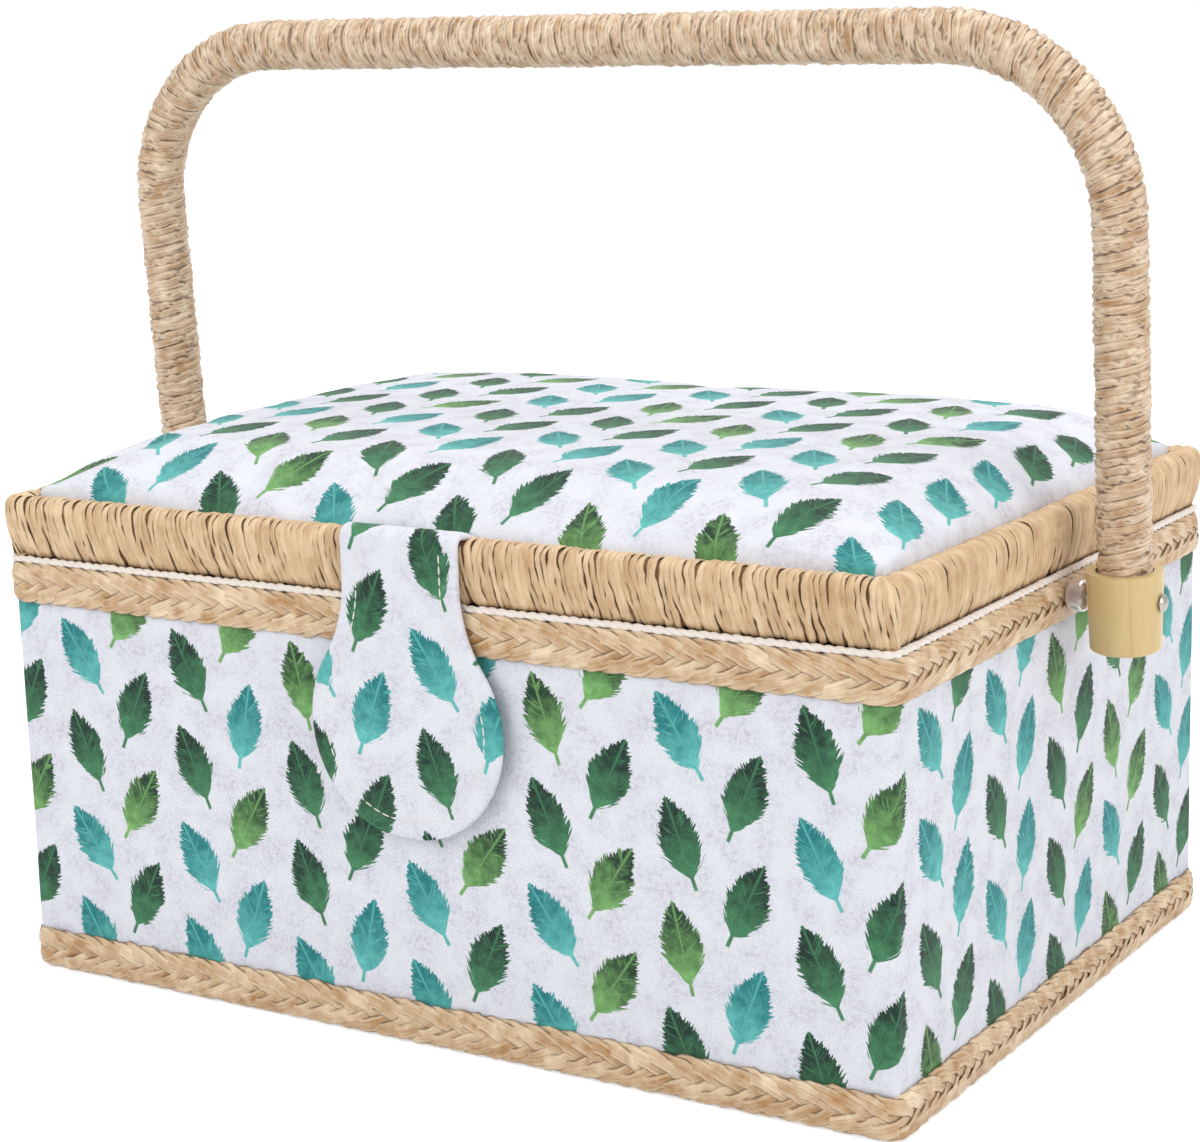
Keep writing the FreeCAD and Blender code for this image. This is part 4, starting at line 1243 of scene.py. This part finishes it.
class SEWING_BOX_OT_handle_twine(bpy.types.Operator):
    """Wind twine round the arch handle"""

    bl_idname = "sewing_box.handle_twine"
    bl_label = "Handle winding"

    def execute(self, context):
        settings = context.scene.sewing_box_raffia
        material = raffia(
            "twisted paper twine", settings.twine_light_and_glint, settings.twine_dark, settings.shadow,
            roughness=0.3, fibre_width=0.12, fibre_length=6 * MM, edge_start=0.62,
        )
        points, outs = self.arch()
        path = path_mesh("Handle_winding", points, outs, closed=False)
        thread = settings.twine_pitch
        radius = wrap_radius - 0.45 * thread
        mesh = grow("Handle_winding", path, strand_tree(), {
            "Strands": 3, "Step": thread / 8, "Pitch": 3 * thread, "Sway": radius, "Lift": radius, "Lift cycles": 1.0,
            "Lift phase": math.pi / 2, "Hug": 1.0, "Wobble": 0.9, "Section": (0.9 * thread, 1.28 * thread, 1.0),
            "Sides": 12, "Edge": 2.05, "Ply depth": 0.3 * MM, "Ply length": 19 * MM, "Groove": 1.0,
            "Jitter": (0.2 * MM, 0.2 * MM, 0.65 * MM), "Jitter scale": 1 / (4 * MM), "Uneven": 0.3, "Seed": 5.0,
            "Material": material,
        })
        # A real layer under the twine, coloured dark as painted shade in the slits between the turns
        under = path_mesh("Handle_under_layer", points, outs, closed=False)
        inside = under_raffia(settings)
        tube = 2 * (radius - 0.15 * thread)
        under_mesh = grow("Handle_under_layer", under, strand_tree(), {
            "Strands": 1, "Step": 3 * MM, "Pitch": 1.0, "Section": (tube, tube, 1.0), "Sides": 20,
            "Crumple": 0.3 * MM, "Crumple scale": 1 / (3 * MM), "Material": inside,
        })
        lower = piece("Handle_under_layer", under_mesh, inside)
        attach(lower, "handle")
        winding = piece("Handle_winding", mesh, material)
        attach(winding, "handle")
        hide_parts("handle_wrap")
        return {"FINISHED"}

    def arch(self):
        """Points along the middle of the handle, leaning forward, with the direction away from the arch."""
        top = pivot.z + handle_rise
        bend_z = top - handle_bend
        bend_x = leg_x - handle_bend
        leg_points, bend_points = 12, 24

        def bend(centre, start, end):
            """A quarter turn between a leg and the top."""
            outs = [(math.cos(angle), math.sin(angle)) for angle in np.linspace(start, end, bend_points)[1:]]
            return [(centre + handle_bend * x, bend_z + handle_bend * z, x, z) for x, z in outs]

        line = [(leg_x, z, 1.0, 0.0) for z in np.linspace(wrap_foot, bend_z, leg_points)]
        line += bend(bend_x, 0, math.pi / 2)
        line += [(x, top, 0.0, 1.0) for x in np.linspace(bend_x, -bend_x, bend_points)[1:]]
        line += bend(-bend_x, math.pi / 2, math.pi)
        line += [(-leg_x, z, -1.0, 0.0) for z in np.linspace(bend_z, wrap_foot, leg_points)[1:]]
        lean = Matrix.Rotation(handle_lean, 3, "X")
        points = [pivot + lean @ Vector((x, 0, z - pivot.z)) for x, z, _, _ in line]
        outs = [tuple(lean @ Vector((out_x, 0, out_z))) for _, _, out_x, out_z in line]
        return points, outs


class SEWING_BOX_OT_closing_tab(bpy.types.Operator):
    """Sew the closing tab and its topstitching"""

    bl_idname = "sewing_box.closing_tab"
    bl_label = "Closing tab"

    def execute(self, context):
        cloth = printed_cotton(context.scene.sewing_box_cloth)
        middle = self.middle_line()
        obj = piece("Closing_tab", self.mesh(middle), cloth)
        soften(obj)
        stitches = self.stitches(context, middle)
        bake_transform(obj)
        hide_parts("tab_root", "tab_flap", "tab_backing")
        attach(stitches, "tab")
        return {"FINISHED"}

    def half_width(self, drop_z):
        """Half of the tab's width at a height."""
        if drop_z > tab_fillet_z:
            return tab_neck_half
        touch = tab_round_radius / (tab_round_radius + tab_neck_fillet)
        if drop_z > tab_round_z + touch * (tab_fillet_z - tab_round_z):
            reach = math.sqrt(max(tab_neck_fillet ** 2 - (tab_fillet_z - drop_z) ** 2, 0))
            return tab_neck_half + tab_neck_fillet - reach
        return math.sqrt(max(tab_round_radius ** 2 - (drop_z - tab_round_z) ** 2, 0))

    def middle_line(self):
        """Along the tab's middle from its sewn end: place (y, z) and direction out of its face."""
        face_y = (flap_low.y + backing_high.y) / 2
        face_z = (root_low.z + root_high.z) / 2
        radius = tab_fold_radius
        line = []
        for share in np.linspace(1, 0, tab_root_points):
            y = face_y + radius + share * (root_high.y - face_y - radius)
            line.append((y, face_z - tab_root_dip * share ** 1.3, 0.0, 1.0))
        for angle in np.linspace(math.pi / 2, math.pi, tab_fold_points)[1:]:
            out = (math.cos(angle), math.sin(angle))
            line.append((face_y + radius + radius * out[0], face_z - radius + radius * out[1], *out))
        for z in np.linspace(face_z - radius, flap_low.z, 60)[1:]:
            line.append((face_y, z, -1.0, 0.0))
        return line

    def mesh(self, line):
        """Two layers of cloth that meet in a rounded edge, pressed in along the stitching."""
        columns = 29
        lengths = np.concatenate(((0,), np.cumsum([math.dist(a[:2], b[:2]) for a, b in zip(line, line[1:])])))
        grids = []
        for face in (1, -1):
            points = np.zeros((len(line), columns, 3))
            uvs = np.zeros((len(line), columns, 2))
            for row, (y, z, out_y, out_z) in enumerate(line):
                half = self.half_width(z)
                for column in range(columns):
                    share = -math.cos(math.pi * column / (columns - 1))
                    x = share * half
                    edge = min(half - abs(x), z - flap_low.z if out_z == 0 else half - abs(x))
                    inward = max(0.0, 1 - edge / tab_edge_round)
                    puff = tab_thickness / 2 * math.sqrt(max(0.0, 1 - inward ** 2))
                    groove = stitch_groove * math.exp(-((edge - stitch_inset) / stitch_groove_width) ** 2)
                    push = face * max(puff - groove, 0.0)
                    points[row, column] = x, y + push * out_y, z + push * out_z
                    uvs[row, column] = x, -lengths[row]
            grids.append((points, uvs))
        return self.close(grids, columns)

    def close(self, grids, columns):
        """Joins front and back along their shared outline."""
        shape = bmesh.new()
        layer = shape.loops.layers.uv.new("cloth")
        for side, (points, uvs) in enumerate(grids):
            rows = points.shape[0]
            made = [[shape.verts.new(points[row, column]) for column in range(columns)] for row in range(rows)]
            for row in range(rows - 1):
                for column in range(columns - 1):
                    corners = [(row, column), (row + 1, column), (row + 1, column + 1), (row, column + 1)]
                    if side:
                        corners.reverse()
                    face = shape.faces.new([made[r][c] for r, c in corners])
                    for loop, (r, c) in zip(face.loops, corners):
                        loop[layer].uv = uvs[r, c]
        bmesh.ops.remove_doubles(shape, verts=shape.verts, dist=0.02 * MM)
        bmesh.ops.dissolve_degenerate(shape, edges=shape.edges, dist=0.01 * MM)
        mesh = bpy.data.meshes.new("Closing_tab")
        shape.to_mesh(mesh)
        shape.free()
        return mesh

    def stitches(self, context, line):
        """Topstitching that runs down one side, round the end and up the other."""
        face_y = flap_low.y + 0.05 * MM
        start_z = line[tab_root_points + tab_fold_points - 1][1] - 1.5 * MM
        down = []
        for z in np.linspace(start_z, flap_low.z + stitch_inset, 90):
            round_half = math.sqrt(max((tab_round_radius - stitch_inset) ** 2 - (z - tab_round_z) ** 2, 0))
            down.append((round_half if z < tab_round_z else self.half_width(z) - stitch_inset, z))
        seam = [(-x, face_y, z) for x, z in down] + [(x, face_y, z) for x, z in down[::-1]][1:]
        path = path_mesh("Tab_stitches", seam, [(0, -1, 0)] * len(seam), closed=False)
        material = cotton_thread(context.scene.sewing_box_cloth.thread)
        mesh = grow("Tab_stitches", path, stitch_tree(), {
            "Spacing": 3.0 * MM, "Length": 2.7 * MM, "Thread": 0.5 * MM, "Material": material,
        })
        return piece("Tab_stitches", mesh, material)


class SEWING_BOX_OT_linings(bpy.types.Operator):
    """Line the inside of the box and the lid, and cover the base"""

    bl_idname = "sewing_box.linings"
    bl_label = "Linings"

    def execute(self, context):
        material = lining_cotton(context.scene.sewing_box_cloth)
        top = wall_top + 0.35 * MM
        floor_z = lining_low.z + lining_thickness
        profile = [(-0.5 * MM, wall_top), (-1.2 * MM, top), (-2.4 * MM, top), (-3.6 * MM, top)]
        profile += [(board_offset, z) for z in np.linspace(wall_top - 0.4 * MM, floor_z, 30)]
        walls = piece("Wall_lining", wall_mesh("Wall_lining", profile, lining_spacing, ripple=0.2 * MM), material)
        low = Vector((-half_length - board_offset, -half_depth - board_offset))
        lid_low = lid_lining_low.xy
        base_corner = base_low.xy
        floor, lid, base = (
            piece(name, panel_mesh(name, corner, -corner, radius, height, spacing=6 * MM, ripple=ripple), material)
            for name, corner, radius, height, ripple in (
                ("Floor_lining", low, least_corner_radius, floor_z, 0.2 * MM),
                ("Lid_lining", lid_low, lid_corner_radius, lid_lining_low.z + 0.1 * MM, 0.1 * MM),
                ("Base_cloth", base_corner, corner_radius, base_low.z, 0.0),
            )
        )
        for cloth in (walls, lid, base):
            cloth.data.flip_normals()
        for cloth, thickness in ((walls, 0.4), (floor, 0.4), (lid, 0.5), (base, 0.8)):
            thicken(cloth, thickness * MM)
            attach(cloth, "lid" if cloth == lid else "box")
        around = outline(board_offset, lining_spacing)[2][-1]
        drop = sum(math.dist(first, second) for first, second in zip(profile, profile[1:]))
        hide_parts("body_lining")
        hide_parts("lid_lining")
        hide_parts("base_cloth")
        return {"FINISHED"}


class SEWING_BOX_OT_fittings(bpy.types.Operator):
    """Finish the caps, pivots, hinges and boards"""

    bl_idname = "sewing_box.fittings"
    bl_label = "Fittings"

    def execute(self, context):
        cap = moulded_plastic("moulded bamboo-look plastic", "#D1B883", "#CAAF79", leg_x + 5 * MM)
        hoop = moulded_plastic("moulded hoop plastic", "#C9B45C", "#A48C3C", 0.0)
        steel = plated_steel()
        board = grey_board()
        finishes = {
            cap: ("left_end_cap", "right_end_cap"),
            hoop: ("rim_hoop", "handle_core"),
            steel: (
                "pivot_screws", "pivot_washers", "pivot_nuts", "hinge_pins", "body_hinge_leaves", "lid_hinge_leaves",
                "body_hinge_screws", "lid_hinge_screws", "front_keeper", "tab_magnet",
            ),
            board: ("base_board", *WALL_BOARDS, "lid_board"),
        }
        for material, solids in finishes.items():
            for solid in solids:
                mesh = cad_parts[solid].data
                mesh.materials.clear()
                mesh.materials.append(material)
        clear = clear_plastic()
        for solid in ("left_pivot_bush", "right_pivot_bush"):
            bush = self.bush(solid, clear)
            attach(bush, "box")
            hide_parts(solid)
        return {"FINISHED"}

    def bush(self, solid, material):
        """A clear bush with rounded ends."""
        low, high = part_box(solid)
        start, end = (low.x, high.x) if low.x > 0 else (high.x, low.x)
        radius = (high.z - low.z) / 2
        middle = (low + high) / 2
        rings, sides = 25, 32
        points = []
        for share in np.linspace(0, 1, rings):
            size = radius * (0.84 + 0.3 * (1 - abs(2 * share - 1) ** 5))
            for turn in np.linspace(0, 2 * math.pi, sides + 1)[:-1]:
                x = start + (end - start) * share
                points.append((x, middle.y + size * math.cos(turn), middle.z + size * math.sin(turn)))
        faces = [
            (row + k, row + (k + 1) % sides, row + sides + (k + 1) % sides, row + sides + k)
            for row in range(0, (rings - 1) * sides, sides) for k in range(sides)
        ]
        faces += [tuple(range(sides - 1, -1, -1)), tuple(range((rings - 1) * sides, rings * sides))]
        mesh = bpy.data.meshes.new(solid)
        mesh.from_pydata(points, [], faces)
        if start > 0:
            mesh.flip_normals()
        return piece(solid.capitalize() + "_turned", mesh, material)


class SEWING_BOX_PT_panel(bpy.types.Panel):
    """The sewing box's settings and pieces"""

    bl_idname = "SEWING_BOX_PT_panel"
    bl_label = "Sewing box"
    bl_space_type = "VIEW_3D"
    bl_region_type = "UI"
    bl_category = "Sewing box"

    def draw(self, context):
        for group in (getattr(context.scene, name) for name in SETTINGS):
            column = self.layout.column()
            for name in group.__annotations__:
                column.prop(group, name)
        for operator in OPERATORS:
            self.layout.operator(operator.bl_idname)


SETTINGS = {
    "sewing_box_cloth": ClothSettings,
    "sewing_box_raffia": RaffiaSettings,
    "sewing_box_stage": StageSettings,
}
OPERATORS = (
    SEWING_BOX_OT_stage,
    SEWING_BOX_OT_body_cloth,
    SEWING_BOX_OT_lid_cushion,
    SEWING_BOX_OT_rim_wrap,
    SEWING_BOX_OT_braids,
    SEWING_BOX_OT_piping,
    SEWING_BOX_OT_handle_twine,
    SEWING_BOX_OT_closing_tab,
    SEWING_BOX_OT_linings,
    SEWING_BOX_OT_fittings,
)


def register():
    """Registers the settings, operators and panel."""
    for kind in (*SETTINGS.values(), *OPERATORS, SEWING_BOX_PT_panel):
        bpy.utils.register_class(kind)
    for name, kind in SETTINGS.items():
        setattr(bpy.types.Scene, name, bpy.props.PointerProperty(type=kind))


def unregister():
    """Removes what register added."""
    for name in SETTINGS:
        delattr(bpy.types.Scene, name)
    for kind in (SEWING_BOX_PT_panel, *reversed(OPERATORS), *SETTINGS.values()):
        bpy.utils.unregister_class(kind)


def main():
    """Makes the whole box."""
    register()
    for operator in OPERATORS:
        getattr(bpy.ops.sewing_box, operator.bl_idname.split(".")[1])()


if __name__ == "__main__":
    main()
